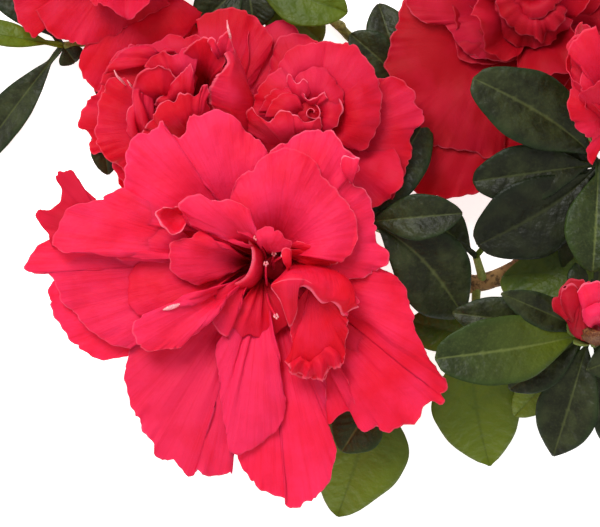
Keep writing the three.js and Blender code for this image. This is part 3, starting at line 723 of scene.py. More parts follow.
# The bloom at the top right, cut by the picture's edge
TOP_RIGHT = Bloom(
    look=DEEP_LOOK,
    foot=(47, 50, 4.7),
    tilt=6,
    toward=250,
    carrier=TOP_RIGHT_TIP,
    throat=(530, -5, 12),
    tone=1.0,
    petals=[
        Petal(104, 34, 40, 64, -7, phase=2, seat=2.6),
        Petal(32, 34, 40, 64, -4, phase=3, seat=4),
        Petal(312, 33, 40, 64, -3, phase=4, seat=5.2),
        # Those that reach into the picture
        Drawn((510, 55, 9), 13,
              ((415, 130), (411, 165), (411, 188), (425, 196), (445, 198), (465, 196), (479, 192),
               (500, 184), (525, 165)),
              frill=0.6, crumple=0.3),
        Drawn((505, 40, 10), 15,
              ((420, -20), (404, 0), (397, 20), (391, 40), (387, 55), (385, 67), (391, 78), (397, 92),
               (406, 110), (420, 134), (436, 147), (455, 149), (472, 152), (488, 158), (505, 150)),
              frill=0.8, crumple=0.4),
        Drawn((515, 20, 12), 18,
              ((470, -40), (440, -32), (418, -15), (406, 0), (411, 13), (420, 20), (433, 24), (448, 28),
               (458, 44), (470, 56), (486, 60)),
              frill=0.7, crumple=0.4, tone=0.6),
        Drawn((530, 10, 13), 18,
              ((455, 40), (464, 52), (482, 58), (505, 61), (530, 60), (552, 54), (575, 42)),
              frill=0.8, crumple=0.5),
        Drawn((530, 5, 16), 22,
              ((480, -15), (484, 10), (490, 28), (504, 40), (522, 48), (542, 46), (558, 36), (572, 20)),
              frill=1.4, crumple=0.9, tone=0.8),
        Drawn((530, 0, 18), 25,
              ((498, -10), (500, 8), (508, 22), (520, 34), (534, 36), (541, 43), (549, 32), (560, 24),
               (568, 8)),
              frill=1.8, crumple=1.1),
        Drawn((532, -8, 20), 26,
              ((508, 0), (514, 12), (526, 18), (540, 16), (552, 8), (560, -4)),
              frill=1.6, crumple=1.1),
        Rolled((532, -12), 18, 27, 14, 2.0),
        *ring(3, 60, 18, 40, 78, 40, cup=0.06, seat=8, crumple=0.9, frill=1.5),
        *ring(5, 50, 19, 44, 66, 20, seat=4, crumple=0.4),
    ],
)

# The half-open bloom at the right edge
HALF_OPEN = Bloom(
    look=RED_LOOK,
    foot=(60.5, 22.5, 29),
    tilt=50,
    toward=82,
    carrier=RIGHT_TIP,
    throat=(610, 110, 30),
    tone=0.8,
    petals=[
        *ring(3, 30, 22, 46, 50, 66, cup=0.06, ruffle=1.2, seat=3, crumple=0.5),
        Petal(200, 18, 42, 76, 80, cup=0.1),
        Drawn((610, 120, 33), 43,
              ((592, 166, -3), (586, 150, -3), (591, 141, -2), (584, 133, -2), (575, 127, -2),
               (571, 118, -1), (569, 102), (570, 88), (571, 75), (570, 60), (567, 47), (572, 38),
               (582, 32)),
              frill=0.8, crumple=0.4),
        Drawn((612, 112, 35), 46,
              ((604, 116, -2), (594, 107), (586, 98), (580, 87), (581, 75), (578, 64), (571, 57), (568, 48),
               (573, 40), (583, 32), (596, 26)),
              frill=0.7, crumple=0.5, belly=1),
    ],
    furled=((1.6, 0), (2.4, 5), (3.2, 10), (1.4, 14), (0.1, 15.5)),
)

# The bud below it
BUD = Bloom(
    look=DEEP_LOOK,
    foot=(57.5, -14, 25.5),
    tilt=44,
    toward=112,
    carrier=LOWER_RIGHT_TIP,
    throat=(590, 330, 20),
    tone=0.8,
    petals=[
        Drawn((578, 326, 24), 32.5,
              ((572, 326, -4), (563, 314, -1), (556, 311), (552, 306), (553, 300), (558, 292, 1),
               (563, 285, 1), (570, 280, 1), (580, 278, 1), (590, 281)),
              frill=0.6, crumple=0.4, belly=2),
        Drawn((578, 326, 26), 35,
              ((572, 324, -5), (565, 312, -1), (561, 300), (561, 292, 1), (565, 286, 1), (572, 284, 1),
               (577, 288), (579, 300, -1), (580, 314, -4)),
              frill=0.3, crumple=0.3, belly=1.5, pale=0.5),
        Drawn((588, 322, 27), 35.5,
              ((582, 322, -5), (579, 306, -1), (577, 293), (583, 285, 1), (592, 281, 1), (604, 282),
               (611, 296, -2), (612, 308, -4)),
              frill=0.3, crumple=0.2, belly=2, look=PETAL_LOOK, tone=0.2, pale=0.7),
        Drawn((592, 330, 28), 36.5,
              ((585, 324, -4), (582, 316, -1), (584, 308), (589, 304, 1), (602, 302), (611, 308, -2),
               (613, 320, -5)),
              frill=0.2, crumple=0.1, belly=2.5, look=PETAL_LOOK, tone=0.0),
        # Brown scales round its foot
        Drawn((592, 344, 24), 31,
              ((578, 334, -3), (575, 326), (578, 319), (581, 314, 1), (584, 322, 1), (590, 328)),
              frill=0.4, crumple=0.3, look=SCALE_LOOK),
        Drawn((596, 346, 25), 34,
              ((580, 340, -5), (583, 331), (589, 328, 1), (598, 330, 1), (608, 328), (612, 338, -4)),
              frill=0.4, crumple=0.3, look=SCALE_LOOK),
        Rolled((569, 291), 27, 35.5, 7.5, 1.5, start=0.2, pale=0.7),
    ],
    furled=((1.6, 0), (3.3, 3), (3.6, 7), (2.8, 10.5), (1.4, 12.6), (0.1, 13.4)),
)

BLOOMS = {
    "bloom_front": FRONT,
    "bloom_upper_left": UPPER_LEFT,
    "bloom_rose": ROSE,
    "bloom_top_left": TOP_LEFT,
    "bloom_top_right": TOP_RIGHT,
    "bloom_half_open": HALF_OPEN,
    "bud": BUD,
}

# Each spray: where its leaves meet, where its stalk leaves the bough, and its leaves
SPRAYS = {
    "leaves_right_upper": ((58.7, 19.6, 26), RIGHT_TIP, [
        Leaf(147.2, 32, 14.6, 18, bow=-1.6, sharp=0), Leaf(188, 25.5, 12, 5, roll=-10, sharp=0.1, tone=0.35),
        Leaf(214, 29, 16.5, -2, roll=-13, bow=1.6, sharp=0.1, tone=0.6),
        Leaf(266, 22, 12.5, 10, green=MIDDLE, sharp=0.2), Leaf(257, 24, 9, -17), Leaf(26, 25, 12, 9),
        Leaf(349, 26, 12, -13), Leaf(302, 30, 12, -24), Leaf(172, 10, 9, -14), Leaf(236, 10, 8, -22),
    ]),
    "leaves_right_lower": ((57.6, -13.6, 21), LOWER_RIGHT_TIP, [
        Leaf(189, 34, 14.2, 19, green=MIDDLE, bow=0.6, sharp=0.05, full=1.3, glow=-0.7), Leaf(216, 20, 9, -8),
        Leaf(255, 27, 13, -13, roll=12, sharp=0.7), Leaf(231, 25.5, 9, -28, green=BRIGHT, glow=1),
        Leaf(157, 22, 7, 24), Leaf(172, 28, 9.5, 2), Leaf(147, 21, 17, -12, green=BRIGHT, bow=-6.5),
        Leaf(291, 32, 11, -26), Leaf(80, 17, 13, -6), Leaf(322, 17, 13, -9),
    ]),
    "leaves_far_right": ((71, -16.3, 17), FAR_RIGHT_TIP, [
        Leaf(197, 19, 9, 35), Leaf(30, 16, 11, 23), Leaf(342, 18, 12, -13),
        Leaf(294, 25, 12, -29, green=MIDDLE),
    ]),
    "leaves_middle": ((12.7, 8.2, 23), (19, 6, 6), [
        Leaf(5, 20, 9.5, 12), Leaf(317, 28, 16, -11, bow=2.5), Leaf(58.7, 27, 11.5, -22, full=0.9),
        Leaf(36, 11, 10, -16),
    ]),
    "leaves_fork": ((35.5, 1.5, 13), (37.5, -4, 7.1), [
        Leaf(141, 20, 10, 20), Leaf(51, 22, 10, 8, green=BRIGHT),
    ]),
    "leaves_lower": ((35.2, -15.1, 11), (36, -4.2, 7.2), [
        Leaf(165, 14, 9.5, 12, green=BRIGHT),
        Leaf(278.5, 30, 18.8, -24, green=BRIGHT, bow=-1.4, sharp=0.75, full=0.8, glow=1),
    ]),
    "leaves_bottom": ((15.7, -26.3, 14), BOTTOM_TIP, [
        Leaf(253, 31.5, 20, -29, green=BRIGHT, sharp=0.5, full=0.6, glow=1.4),
        Leaf(237, 14, 11, 12, green=MIDDLE),
    ]),
    "leaves_top_left": ((-48.2, 44.3, 8.5), (-31.5, 47, 3), [
        Leaf(231.5, 33, 9, -16, roll=20), Leaf(171, 27, 7.5, 2, roll=40, green=BRIGHT, glow=-0.9),
        Leaf(306, 4.4, 5.6, -25), Leaf(131, 24, 10, -4),
    ]),
    "leaves_left": ((-40.6, 30.8, 9), (-21, 33, 2), [Leaf(277, 13, 6, -4), Leaf(70, 8.5, 6, -14)]),
    "leaves_top": ((-10.7, 57.1, 14), TOP_TIP, [
        Leaf(341, 22, 12, 10, green=BRIGHT, glow=0.5), Leaf(322, 20.5, 12, -18, green=BRIGHT, glow=0.5),
        Leaf(101, 22, 11, 5), Leaf(52, 22, 11, -5), Leaf(279, 10, 11, -4), Leaf(224, 14, 10, -4),
    ]),
    "leaves_top_gap": ((21.1, 36.8, 10), (16.2, 36, 2.6), [Leaf(139, 15, 9, 12), Leaf(108, 17, 9, -3)]),
}

# What each point knows, for the materials: how far along its petal or leaf it lies and how far across, a
# number of its petal's or leaf's own, how far it is from the margin, whether it is on a vein or underneath,
# how much painted shade it gets in the throat, how deep its colour is (partly painted shade), how much of
# the painted highlight on its petal's hem shows and how yellow its leaf is
KNOWN = ("reach", "side", "seed", "brim", "vein", "under", "deep", "tone", "pale", "glow")


class Shell:
    """Gathers the surfaces of one piece: points in millimetres, faces with their looks, and a flat map."""

    def __init__(self):
        """Starts with nothing in it."""
        self.points = []
        self.count = 0
        self.faces = []
        self.looks = []
        self.corners = []
        self.cells = 0
        self.known = {name: [] for name in KNOWN}

    def add_points(self, points, **known):
        """Adds points with what each one knows, and returns the number of the first."""
        points = np.asarray(points, float).reshape(-1, 3)
        first = self.count
        self.points.append(points)
        self.count += len(points)
        for key, values in self.known.items():
            values.append(np.broadcast_to(np.asarray(known.get(key, 0.0), float).ravel(), len(points)))
        return first

    def add_faces(self, faces, corners, cell, look):
        """Adds faces with the place of each corner in one cell of the flat map."""
        self.faces.extend(faces)
        self.looks.extend([look] * len(faces))
        self.corners.append((cell, np.asarray(corners, float).reshape(-1, 2)))

    def new_cell(self):
        """The number of the next free cell of the flat map."""
        self.cells += 1
        return self.cells - 1

    def make(self, name, materials):
        """Makes the piece in metres, in the part's frame."""
        mesh = bpy.data.meshes.new(name)
        places = np.concatenate(self.points) * MM + SHIFT
        mesh.from_pydata(places.tolist(), [], self.faces)
        for material in materials:
            mesh.materials.append(material)
        mesh.polygons.foreach_set("material_index", self.looks)
        mesh.polygons.foreach_set("use_smooth", [True] * len(self.faces))
        for key, values in self.known.items():
            mesh.attributes.new(key, "FLOAT", "POINT").data.foreach_set("value", np.concatenate(values))
        across = max(1, math.ceil(math.sqrt(self.cells)))
        flat = [(corners + (cell % across, cell // across)) / across for cell, corners in self.corners]
        mesh.uv_layers.new(name=MAP_NAME).data.foreach_set("uv", np.concatenate(flat).ravel())
        mesh.update()
        piece = bpy.data.objects.new(name, mesh)
        bpy.context.scene.collection.objects.link(piece)
        return piece


def unit(vectors):
    """Vectors made one long, with their directions kept."""
    length = np.linalg.norm(vectors, axis=-1, keepdims=True)
    return vectors / np.maximum(length, 1e-9)


def sheet_normals(middle):
    """The way up at each point of a sheet whose rows run across it."""
    along = np.gradient(middle, axis=0)
    across = np.gradient(middle, axis=1)
    return unit(np.cross(along, across))


def border_of(rows, columns):
    """The numbers of a sheet's border points, once round it."""
    up = [i * columns for i in range(rows - 1)]
    over = [(rows - 1) * columns + j for j in range(columns - 1)]
    down = [i * columns + columns - 1 for i in range(rows - 1, 0, -1)]
    back = list(range(columns - 1, 0, -1))
    return up + over + down + back


def add_sheet(shell, middle, thick, look, **known):
    """Adds a thin closed sheet: an upper skin, a lower skin and the rim between them."""
    rows, columns = middle.shape[:2]
    normal = sheet_normals(middle)
    half = np.broadcast_to(np.asarray(thick, float), (rows, columns))[..., None] / 2
    top = shell.add_points(middle + normal * half, **known)
    bottom = shell.add_points(middle - normal * half, **{**known, "under": 1.0})
    grid = np.arange(rows * columns).reshape(rows, columns)
    a, b = grid[:-1, :-1].ravel(), grid[1:, :-1].ravel()
    c, d = grid[1:, 1:].ravel(), grid[:-1, 1:].ravel()
    u, v = np.meshgrid(*(np.linspace(MAP_EDGE, 1 - MAP_EDGE, count) for count in (columns, rows)))
    places = np.stack([u.ravel(), v.ravel()], axis=1)
    upper = np.stack([a, b, c, d], axis=1)
    lower = np.stack([a, d, c, b], axis=1)
    upper_cell = shell.new_cell()
    shell.add_faces((upper + top).tolist(), places[upper.ravel()], upper_cell, look)
    shell.add_faces((lower + bottom).tolist(), places[lower.ravel()], shell.new_cell(), look)
    border = np.array(border_of(rows, columns))
    after = np.roll(border, -1)
    rim = np.stack([border + top, border + bottom, after + bottom, after + top], axis=1)
    pushed = 0.5 + (places - 0.5) * (0.5 - MAP_RIM) / (0.5 - MAP_EDGE)
    corners = np.stack([places[border], pushed[border], pushed[after], places[after]], axis=1)
    shell.add_faces(rim.tolist(), corners, upper_cell, look)


def smooth_line(points, count, even=True):
    """Points along the smooth curve through the given ones, evenly spaced by length or else by given
    point."""
    points = np.asarray(points, float)
    padded = np.vstack([2 * points[0] - points[1], points, 2 * points[-1] - points[-2]])
    fine = []
    for p0, p1, p2, p3 in zip(padded, padded[1:], padded[2:], padded[3:]):
        d0, d1, d2 = (max(1e-4, np.linalg.norm(b - a)) ** 0.5 for a, b in ((p0, p1), (p1, p2), (p2, p3)))
        out = ((p1 - p0) / d0 - (p2 - p0) / (d0 + d1) + (p2 - p1) / d1) * d1
        into = ((p2 - p1) / d1 - (p3 - p1) / (d1 + d2) + (p3 - p2) / d2) * d1
        t = np.linspace(0, 1, CURVE_STEPS, endpoint=False)[:, None]
        cubic = 2 * p1 - 2 * p2 + out + into
        square = -3 * p1 + 3 * p2 - 2 * out - into
        fine.append(p1 + out * t + square * t**2 + cubic * t**3)
    fine = np.vstack([*fine, points[-1:]])
    steps = np.linalg.norm(np.diff(fine, axis=0), axis=1) if even else np.ones(len(fine) - 1)
    walked = np.concatenate([[0], np.cumsum(steps)])
    places = np.linspace(0, walked[-1], count)
    return np.stack([np.interp(places, walked, fine[:, k]) for k in range(3)], axis=1)


def line_frames(line):
    """Two directions square to a line at each of its points, which turn as little as they can along it."""
    tangents = unit(np.gradient(line, axis=0))
    first = np.cross(tangents[0], (0, 0, 1))
    if np.linalg.norm(first) < 0.1:
        first = np.cross(tangents[0], (1, 0, 0))
    normals = [unit(first)]
    for tangent in tangents[1:]:
        kept = normals[-1] - tangent * np.dot(normals[-1], tangent)
        normals.append(unit(kept))
    normals = np.array(normals)
    return normals, np.cross(tangents, normals)


def add_tube(shell, line, radii, sides, look, relief=None, **known):
    """Adds a closed tube along a line. relief changes the radius by how far along and round a point is."""
    rings = len(line)
    normals, seconds = line_frames(line)
    angle = np.linspace(0, 2 * math.pi, sides, endpoint=False)[None, :]
    along = np.linspace(0, 1, rings)[:, None]
    radius = np.broadcast_to(np.asarray(radii, float).reshape(-1, 1), (rings, 1))
    spread = radius + (relief(along, angle) if relief else np.zeros((rings, sides)))
    round_it = normals[:, None] * np.cos(angle)[..., None] + seconds[:, None] * np.sin(angle)[..., None]
    wall = line[:, None] + round_it * spread[..., None]
    wall[..., 2] = np.maximum(wall[..., 2], 0)
    first = shell.add_points(wall, reach=np.broadcast_to(along, (rings, sides)), **known)
    grid = np.arange(rings * sides).reshape(rings, sides)
    turned = np.roll(grid, -1, axis=1)
    faces = np.stack([grid[:-1].ravel(), turned[:-1].ravel(), turned[1:].ravel(), grid[1:].ravel()], axis=1)
    u, v = np.meshgrid(np.linspace(0, 1, sides + 1), np.linspace(0, 1, rings))
    corner = np.stack([MAP_EDGE + (1 - 2 * MAP_EDGE) * u, MAP_EDGE + (TUBE_TOP - MAP_EDGE) * v], axis=2)
    corners = np.stack([corner[:-1, :-1], corner[:-1, 1:], corner[1:, 1:], corner[1:, :-1]], axis=2)
    cell = shell.new_cell()
    shell.add_faces((faces + first).tolist(), corners, cell, look)
    edge = np.arange(sides)
    after = np.roll(edge, -1)
    circle = CAP_SIZE * np.stack([np.cos(angle[0]), np.sin(angle[0])], axis=1)
    for number, middle_u, order in ((0, 0.25, (after, edge)), (rings - 1, 0.75, (edge, after))):
        centre = shell.add_points(wall[number].mean(axis=0), reach=along[number], **known)
        start = first + number * sides
        cap = [[centre, int(start + m), int(start + n)] for m, n in zip(*order)]
        middle = np.array([middle_u, CAP_PLACE])
        flat = [[middle, middle + circle[m], middle + circle[n]] for m, n in zip(*order)]
        shell.add_faces(cap, flat, cell, look)


def bend_line(length, reach, slope_at, steps=48):
    """How far out and up the middle of a petal or leaf has gone, and its slope, at even steps along it."""
    along = np.linspace(0, length, steps + 1)
    slope = slope_at(np.minimum(along / reach, 1))
    middle = (slope[1:] + slope[:-1]) / 2
    step = length / steps
    out = np.concatenate([[0], np.cumsum(step * np.cos(middle))])
    up = np.concatenate([[0], np.cumsum(step * np.sin(middle))])
    return along, out, up, slope


def turned_to(degrees):
    """The outward and the sideways direction of a petal or leaf that points this way."""
    outward = np.array([math.cos(math.radians(degrees)), math.sin(math.radians(degrees)), 0])
    return outward, np.array([-outward[1], outward[0], 0])


def from_picture(x, y, z):
    """The place in the layout of what the camera sees at this pixel and this high."""
    scale = PIXEL * (CAMERA_HEIGHT - z) / (CAMERA_HEIGHT - BLOOM_DEPTH)
    return np.array([(x - PICTURE_PIXELS[0] / 2) * scale, (PICTURE_PIXELS[1] / 2 - y) * scale, z])


def seen_line(points, count, even=True):
    """The smooth curve through points that are given by pixels and heights."""
    return smooth_line([from_picture(*point) for point in points], count, even)


def petal_rows(rows, length):
    """How far along each row of a petal lies: closer together towards its margin, the last but one at its
    brim."""
    even = np.linspace(0, 1, rows - 1)
    brim = 1 - BRIM / length
    return np.append(0.03 + (brim - 0.03) * (1 - (1 - even) ** 1.3), 1.0)[:, None]


def wave(walked, length, shift=0.0):
    """A wave of its own length along what has been walked."""
    return np.sin(2 * math.pi * walked / length + shift)


def swelling(middle, length, number, seed):
    """A soft wave across a petal, of its own length and direction."""
    turn = GOLDEN * number + seed
    along = middle[..., 0] * math.cos(turn) + middle[..., 1] * math.sin(turn)
    return wave(along, length, 1.7 * number + 2 * seed)


def liven(middle, share, walked, reach, seed, p):
    """Gives a smooth petal its frilled margin, soft swellings and folds. walked is in mm along the
    margin."""
    swellings = [tall * swelling(middle, long, i + 1, seed) for i, (long, tall) in enumerate(SWELLINGS)]
    height = np.minimum(1, 2 * share) * (p.crumple * sum(swellings[:CRUMPLED]) + sum(swellings[CRUMPLED:]))
    frilled = sum(tall * wave(walked, long, shift * seed) for long, tall, shift in FRILLS)
    uneven = 0.6 + 0.4 * wave(walked, 19, 3 * seed)
    from_margin = (1 - share) * reach
    height = height + p.frill * frilled * uneven * np.exp(-from_margin / 1.8)
    place = walked / walked.max()
    for where, tall, wide in p.folds:
        crease = tall * np.exp(-(((place - where) / wide) ** 2))
        height = height + crease * np.sin(math.pi * share**0.8) ** 0.7
    height = height + p.curl * np.clip((share - 0.75) / 0.25, 0, 1) ** 2
    return middle + sheet_normals(middle) * height[..., None]


def nibbles(walked, seed):
    """How far a margin stands in or out along it: mostly smooth, with small notches here and there."""
    slow = 0.15 * wave(walked, 6.1, seed) + 0.13 * wave(walked, 2.7, 2 * seed)
    beat = wave(walked, 1.7, 3 * seed) + wave(walked, 5.3, seed) + wave(walked, 13.1, 2 * seed)
    return slow - 0.5 * np.clip(beat - 1.6, 0, 1)


def known_of(share, walked, reach, seed):
    """What the looks need to know of each point of a petal."""
    shape = np.ones(np.broadcast_shapes(share.shape, walked.shape))
    known = {"reach": share, "side": walked / VEIN_SPAN, "seed": seed % 10, "brim": (1 - share) * reach}
    return {key: value * shape for key, value in known.items()}


def petal_sheet(p, rows=20, columns=50):
    """A worked-out petal's middle surface in its bloom's own frame."""
    rise, lay = math.radians(p.rise), math.radians(p.lay)

    def slope_at(t):
        """Steep at the foot and laid out towards the tip."""
        return lay + (rise - lay) * (1 - t) ** PETAL_BEND

    share = petal_rows(rows, p.reach)
    even = np.linspace(-1, 1, columns)[None, :]
    side = even * (1.3 - 0.3 * even**2)
    outline = np.cos(0.92 * side * math.pi / 2) ** PETAL_BLUNT
    walked = math.radians(p.fan) * p.reach * (1 + side)
    seed = p.phase * 1.9 + p.turn * 0.37
    notches = 1 + p.edge * np.sin(2.3 * math.pi * side + 1.7 * p.phase)
    radius = share * (p.reach * outline * notches + nibbles(walked, seed) * share**12)
    across = radius * np.sin(math.radians(p.fan) * side)
    along = radius * np.cos(math.radians(p.fan) * side)
    line = bend_line(p.reach * 1.2, p.reach * 1.06, slope_at)
    out, up, slope = (np.interp(along, line[0], line[k]) for k in (1, 2, 3))
    bent = np.sin(p.cup * across) / p.cup
    cupped = (1 - np.cos(p.cup * across)) / p.cup
    height = cupped + p.ruffle * share**2.5 * np.sin(p.waves * math.pi * side + p.phase)
    outward, sideways = turned_to(p.turn)
    middle = outward * (PETAL_FOOT + out - np.sin(slope) * height)[..., None] + sideways * bent[..., None]
    middle[..., 2] += p.seat + up + np.cos(slope) * height
    return liven(middle, share, walked, p.reach, seed, p), known_of(share, walked, p.reach, seed)


def softened(values, across):
    """Values along a line, each averaged with its neighbours over so many steps."""
    steps = np.arange(-3 * across, 3 * across + 1)
    weights = np.exp(-0.5 * (steps / across) ** 2)
    padded = np.pad(values, 3 * across, mode="edge")
    return np.convolve(padded, weights / weights.sum(), mode="valid")


def drawn_sheet(p):
    """A drawn petal's middle surface: it fans out from its foot, and its margin is cut out of a smooth
    bend."""
    foot = from_picture(*p.foot)
    points = [from_picture(m[0], m[1], p.high + sum(m[2:])) for m in p.margin]
    length = np.linalg.norm(np.diff(points, axis=0), axis=1).sum()
    columns = int(np.clip(length / COLUMN_STEP, *COLUMNS))
    edge = smooth_line(points, columns)
    away = np.linalg.norm((edge - foot)[:, :2], axis=1)
    reach = away.mean()
    share = petal_rows(int(np.clip(reach / ROW_STEP, *ROWS)), reach)
    walked = np.linspace(0, length, columns)[None, :]
    seed = 0.31 * p.margin[0][0] + 0.17 * p.margin[-1][1] + p.high
    outward = (edge - foot)[:, :2] / away[:, None]
    radius = away * share + nibbles(walked, seed) * share**12
    middle = np.empty((*radius.shape, 3))
    middle[..., :2] = foot[:2] + outward * radius[..., None]
    gone = np.clip(radius / softened(away, SMOOTHED_COLUMNS), 0, 1.15)
    climb = 1 - np.clip(1 - gone, 0, 1) ** p.steep
    middle[..., 2] = foot[2] + (softened(edge[:, 2], SMOOTHED_COLUMNS) - foot[2]) * climb
    middle[..., 2] += p.belly * np.sin(math.pi * np.minimum(1, gone))
    return liven(middle, share, walked, reach, seed, p), known_of(share, walked, reach, seed)


def ribbed_sheet(p, rows=26):
    """A folded petal's middle surface, drawn smoothly over its ribs."""
    columns = 12 * len(p.ribs)
    ribs = np.array([seen_line(rib, rows, even=False) for rib in p.ribs])
    middle = np.array([smooth_line(ribs[:, row], columns, even=False) for row in range(rows)])
    share = np.linspace(0.1, 1, rows)[:, None]
    walked = np.linspace(0, RIBBED_WIDE, columns)[None, :]
    known = known_of(share, walked, RIBBED_LONG, 3.0)
    steps = np.linalg.norm(np.diff(middle, axis=0), axis=2)
    # How far each point is from the margin, which sets the painted highlight along it
    known["brim"] = np.vstack([np.cumsum(steps[::-1], axis=0)[::-1], np.zeros((1, columns))]) / HEM
    if p.crest:
        beyond = np.clip(walked / walked.max() - p.crest, 0, 1) * 10
        known["brim"] = np.minimum(known["brim"], np.abs(known["reach"] - CREST) * RIBBED_LONG + beyond)
    return liven(middle, share, walked, RIBBED_LONG, 1.0, p), known


def rolled_sheet(p, rows=20, columns=120):
    """A rolled-up petal's middle surface: a scroll that opens upwards."""
    share = petal_rows(rows, p.high - p.low)
    turn = np.linspace(0, 1, columns)[None, :]
    angle = 2 * math.pi * (p.start + p.turns * turn)
    waved = 1 + 0.07 * np.sin(2 * angle + 2) + 0.05 * np.sin(3.3 * angle)
    radius = (0.35 + (p.widest * PIXEL - 0.35) * turn**0.9) * waved * (0.45 + 0.55 * share**1.5)
    x, y = from_picture(*p.middle, p.high)[:2]
    height = p.low + (p.high - p.low + 0.5 * np.sin(2.1 * angle) - 1.6 * turn) * share
    middle = np.stack([x + radius * np.cos(angle), y + radius * np.sin(angle), height], axis=2)
    return middle, known_of(share, turn * ROLLED_WIDE, p.high - p.low, p.start)


def bloom_frame(bloom):
    """The directions right, second and up of a bloom that leans."""
    lean, toward = math.radians(bloom.tilt), math.radians(bloom.toward)
    axis = np.array([math.sin(lean) * math.cos(toward), math.sin(lean) * math.sin(toward), math.cos(lean)])
    right = unit(np.array([1, 0, 0]) - axis * axis[0])
    return np.stack([right, np.cross(axis, right), axis])


def placed(bloom, points):
    """Points in a bloom's own frame, moved to where the bloom is."""
    return np.asarray(points, float) @ bloom_frame(bloom) + np.array(bloom.foot, float)


def leaf_outline(leaf, t, blade, seed):
    """Half a leaf's width along it: the blade, the stalk and the tiny pointed tip, with a faintly wavy
    margin."""
    half = leaf.wide / 2 * np.sin(math.pi * blade**leaf.full) ** (0.95 - (0.5 - 0.6 * leaf.sharp) * blade)
    stalk = 0.55 * np.clip(1 - blade * 2, 0, 1)
    tip = 0.22 * np.clip((blade - 0.9) * 10, 0, 1)
    wavy = 1 + 0.025 * np.sin(9 * t + seed) + 0.012 * np.sin(23 * t + 2 * seed)
    return np.maximum(np.maximum(half, stalk), tip) * wavy


def leaf_veins(leaf, t, side, blade, half):
    """How much each point of a leaf is on a vein, and how far it swells up between its sunken veins."""
    out = np.abs(side)
    branch = (t * leaf.long - 0.75 * out * half) / (leaf.long / SIDE_VEINS)
    ridge = np.abs(np.mod(branch, 1) - 0.5) * 2
    lateral = np.clip((ridge - 0.72) / 0.28, 0, 1) * (out < 0.93) * (out > 0.06)
    midrib = np.clip(1 - out * half / 0.42, 0, 1)
    vein = np.maximum(0.55 * lateral * (1 - 0.5 * out), midrib) * (blade > 0)
    pillow = 0.22 * (1 - ridge) * np.sin(math.pi * out) * np.clip(half / 3, 0, 1)
    return vein, pillow - 0.12 * midrib


def leaf_sheet(leaf, at, fold, arch, rows=44, columns=25):
    """A leaf's middle surface, with its folded blade, raised veins and tiny pointed tip."""

    def slope_at(t):
        """The leaf lifts by its own angle and arches evenly along it."""
        return np.radians(leaf.lift + arch * (0.5 - t))

    t = np.linspace(0, 1, rows)[:, None]
    side = np.linspace(-1, 1, columns)[None, :]
    blade = np.clip((t - PETIOLE) / (1 - PETIOLE), 0, 1)
    seed = leaf.turn * 0.61 + leaf.long
    half = leaf_outline(leaf, t, blade, seed)
    vein, height = leaf_veins(leaf, t, side, blade, half)
    line = bend_line(leaf.long, leaf.long, slope_at)
    out, up, slope = (np.interp(t * leaf.long, line[0], line[k]) for k in (1, 2, 3))
    outward, sideways = turned_to(leaf.turn)
    normal = -np.sin(slope)[..., None] * outward + np.cos(slope)[..., None] * np.array([0, 0, 1])
    roll = (math.radians(leaf.roll) * np.minimum(1, 2 * t))[..., None]
    across = sideways * np.cos(roll) + normal * np.sin(roll)
    above = normal * np.cos(roll) - sideways * np.sin(roll)
    lean = math.radians(fold)
    folded = np.sqrt(side**2 + 0.02) - math.sqrt(0.02) - 0.35 * side**4
    twist = 0.3 * np.sin(4.2 * t + seed) * side**2 * np.clip(half / 4, 0, 1)
    height = height + half * math.sin(lean) * folded + twist
    bow = leaf.bow * np.sin(math.pi * t**0.8)
    flat = np.array(at, float) + outward * out[..., None] + sideways * bow[..., None]
    middle = flat + across * (side * half * math.cos(lean))[..., None] + above * height[..., None]
    middle[..., 2] = np.maximum(middle[..., 2] + up, FLOOR_GAP)
    shape = np.ones_like(side * t)
    glow = max(0, leaf.glow) * t + max(0, -leaf.glow) * (1 - t)
    known = {"reach": t * shape, "side": side * shape, "vein": vein * shape, "seed": (seed % 10) * shape}
    return middle, {**known, "glow": glow * shape, "tone": leaf.tone * shape}


def linear(colour):
    """An sRGB hex colour as the four linear numbers that Blender takes."""
    parts = [int(colour[i : i + 2], 16) / 255 for i in (1, 3, 5)]
    return [p / 12.92 if p <= 0.04045 else ((p + 0.055) / 1.055) ** 2.4 for p in parts] + [1.0]


def hexed(colour):
    """A colour property, which holds linear numbers, as an sRGB hex colour."""
    parts = [12.92 * c if c <= 0.0031308 else 1.055 * c ** (1 / 2.4) - 0.055 for c in colour[:3]]
    return "#" + "".join(f"{round(255 * min(1, max(0, p))):02x}" for p in parts)


def add_node(material, kind, inputs=None, out=0, **settings):
    """Adds a node with its settings and links, and returns one of its outputs. An input is a value, or
    the output that feeds it."""
    tree = material.node_tree
    node = tree.nodes.new("ShaderNode" + kind)
    for key, value in settings.items():
        setattr(node, key, value)
    for key, value in (inputs or {}).items():
        if isinstance(value, bpy.types.NodeSocket):
            tree.links.new(value, node.inputs[key])
        else:
            node.inputs[key].default_value = value
    return node.outputs[out]


def new_material(name, **constants):
    """A new material with one Principled BSDF, whose constant sockets are set."""
    material = bpy.data.materials.new(name)
    material.use_nodes = True
    for key, value in constants.items():
        material.node_tree.nodes["Principled BSDF"].inputs[key.replace("_", " ")].default_value = value
    return material


def coated(material, under, over, value, low=0.0, high=1.0, most=1.0, step="SMOOTHSTEP"):
    """A colour with a coat over it, which comes in as a value goes from low to high, and then covers it
    most."""
    span = {"Value": value, "From Min": low, "From Max": high, "To Min": 0.0, "To Max": most}
    cover = add_node(material, "MapRange", span, interpolation_type=step)
    coat = {"Factor": cover, MIX_UNDER: under, MIX_OVER: linear(over)}
    return add_node(material, "Mix", coat, MIX_COLOUR, data_type="RGBA")


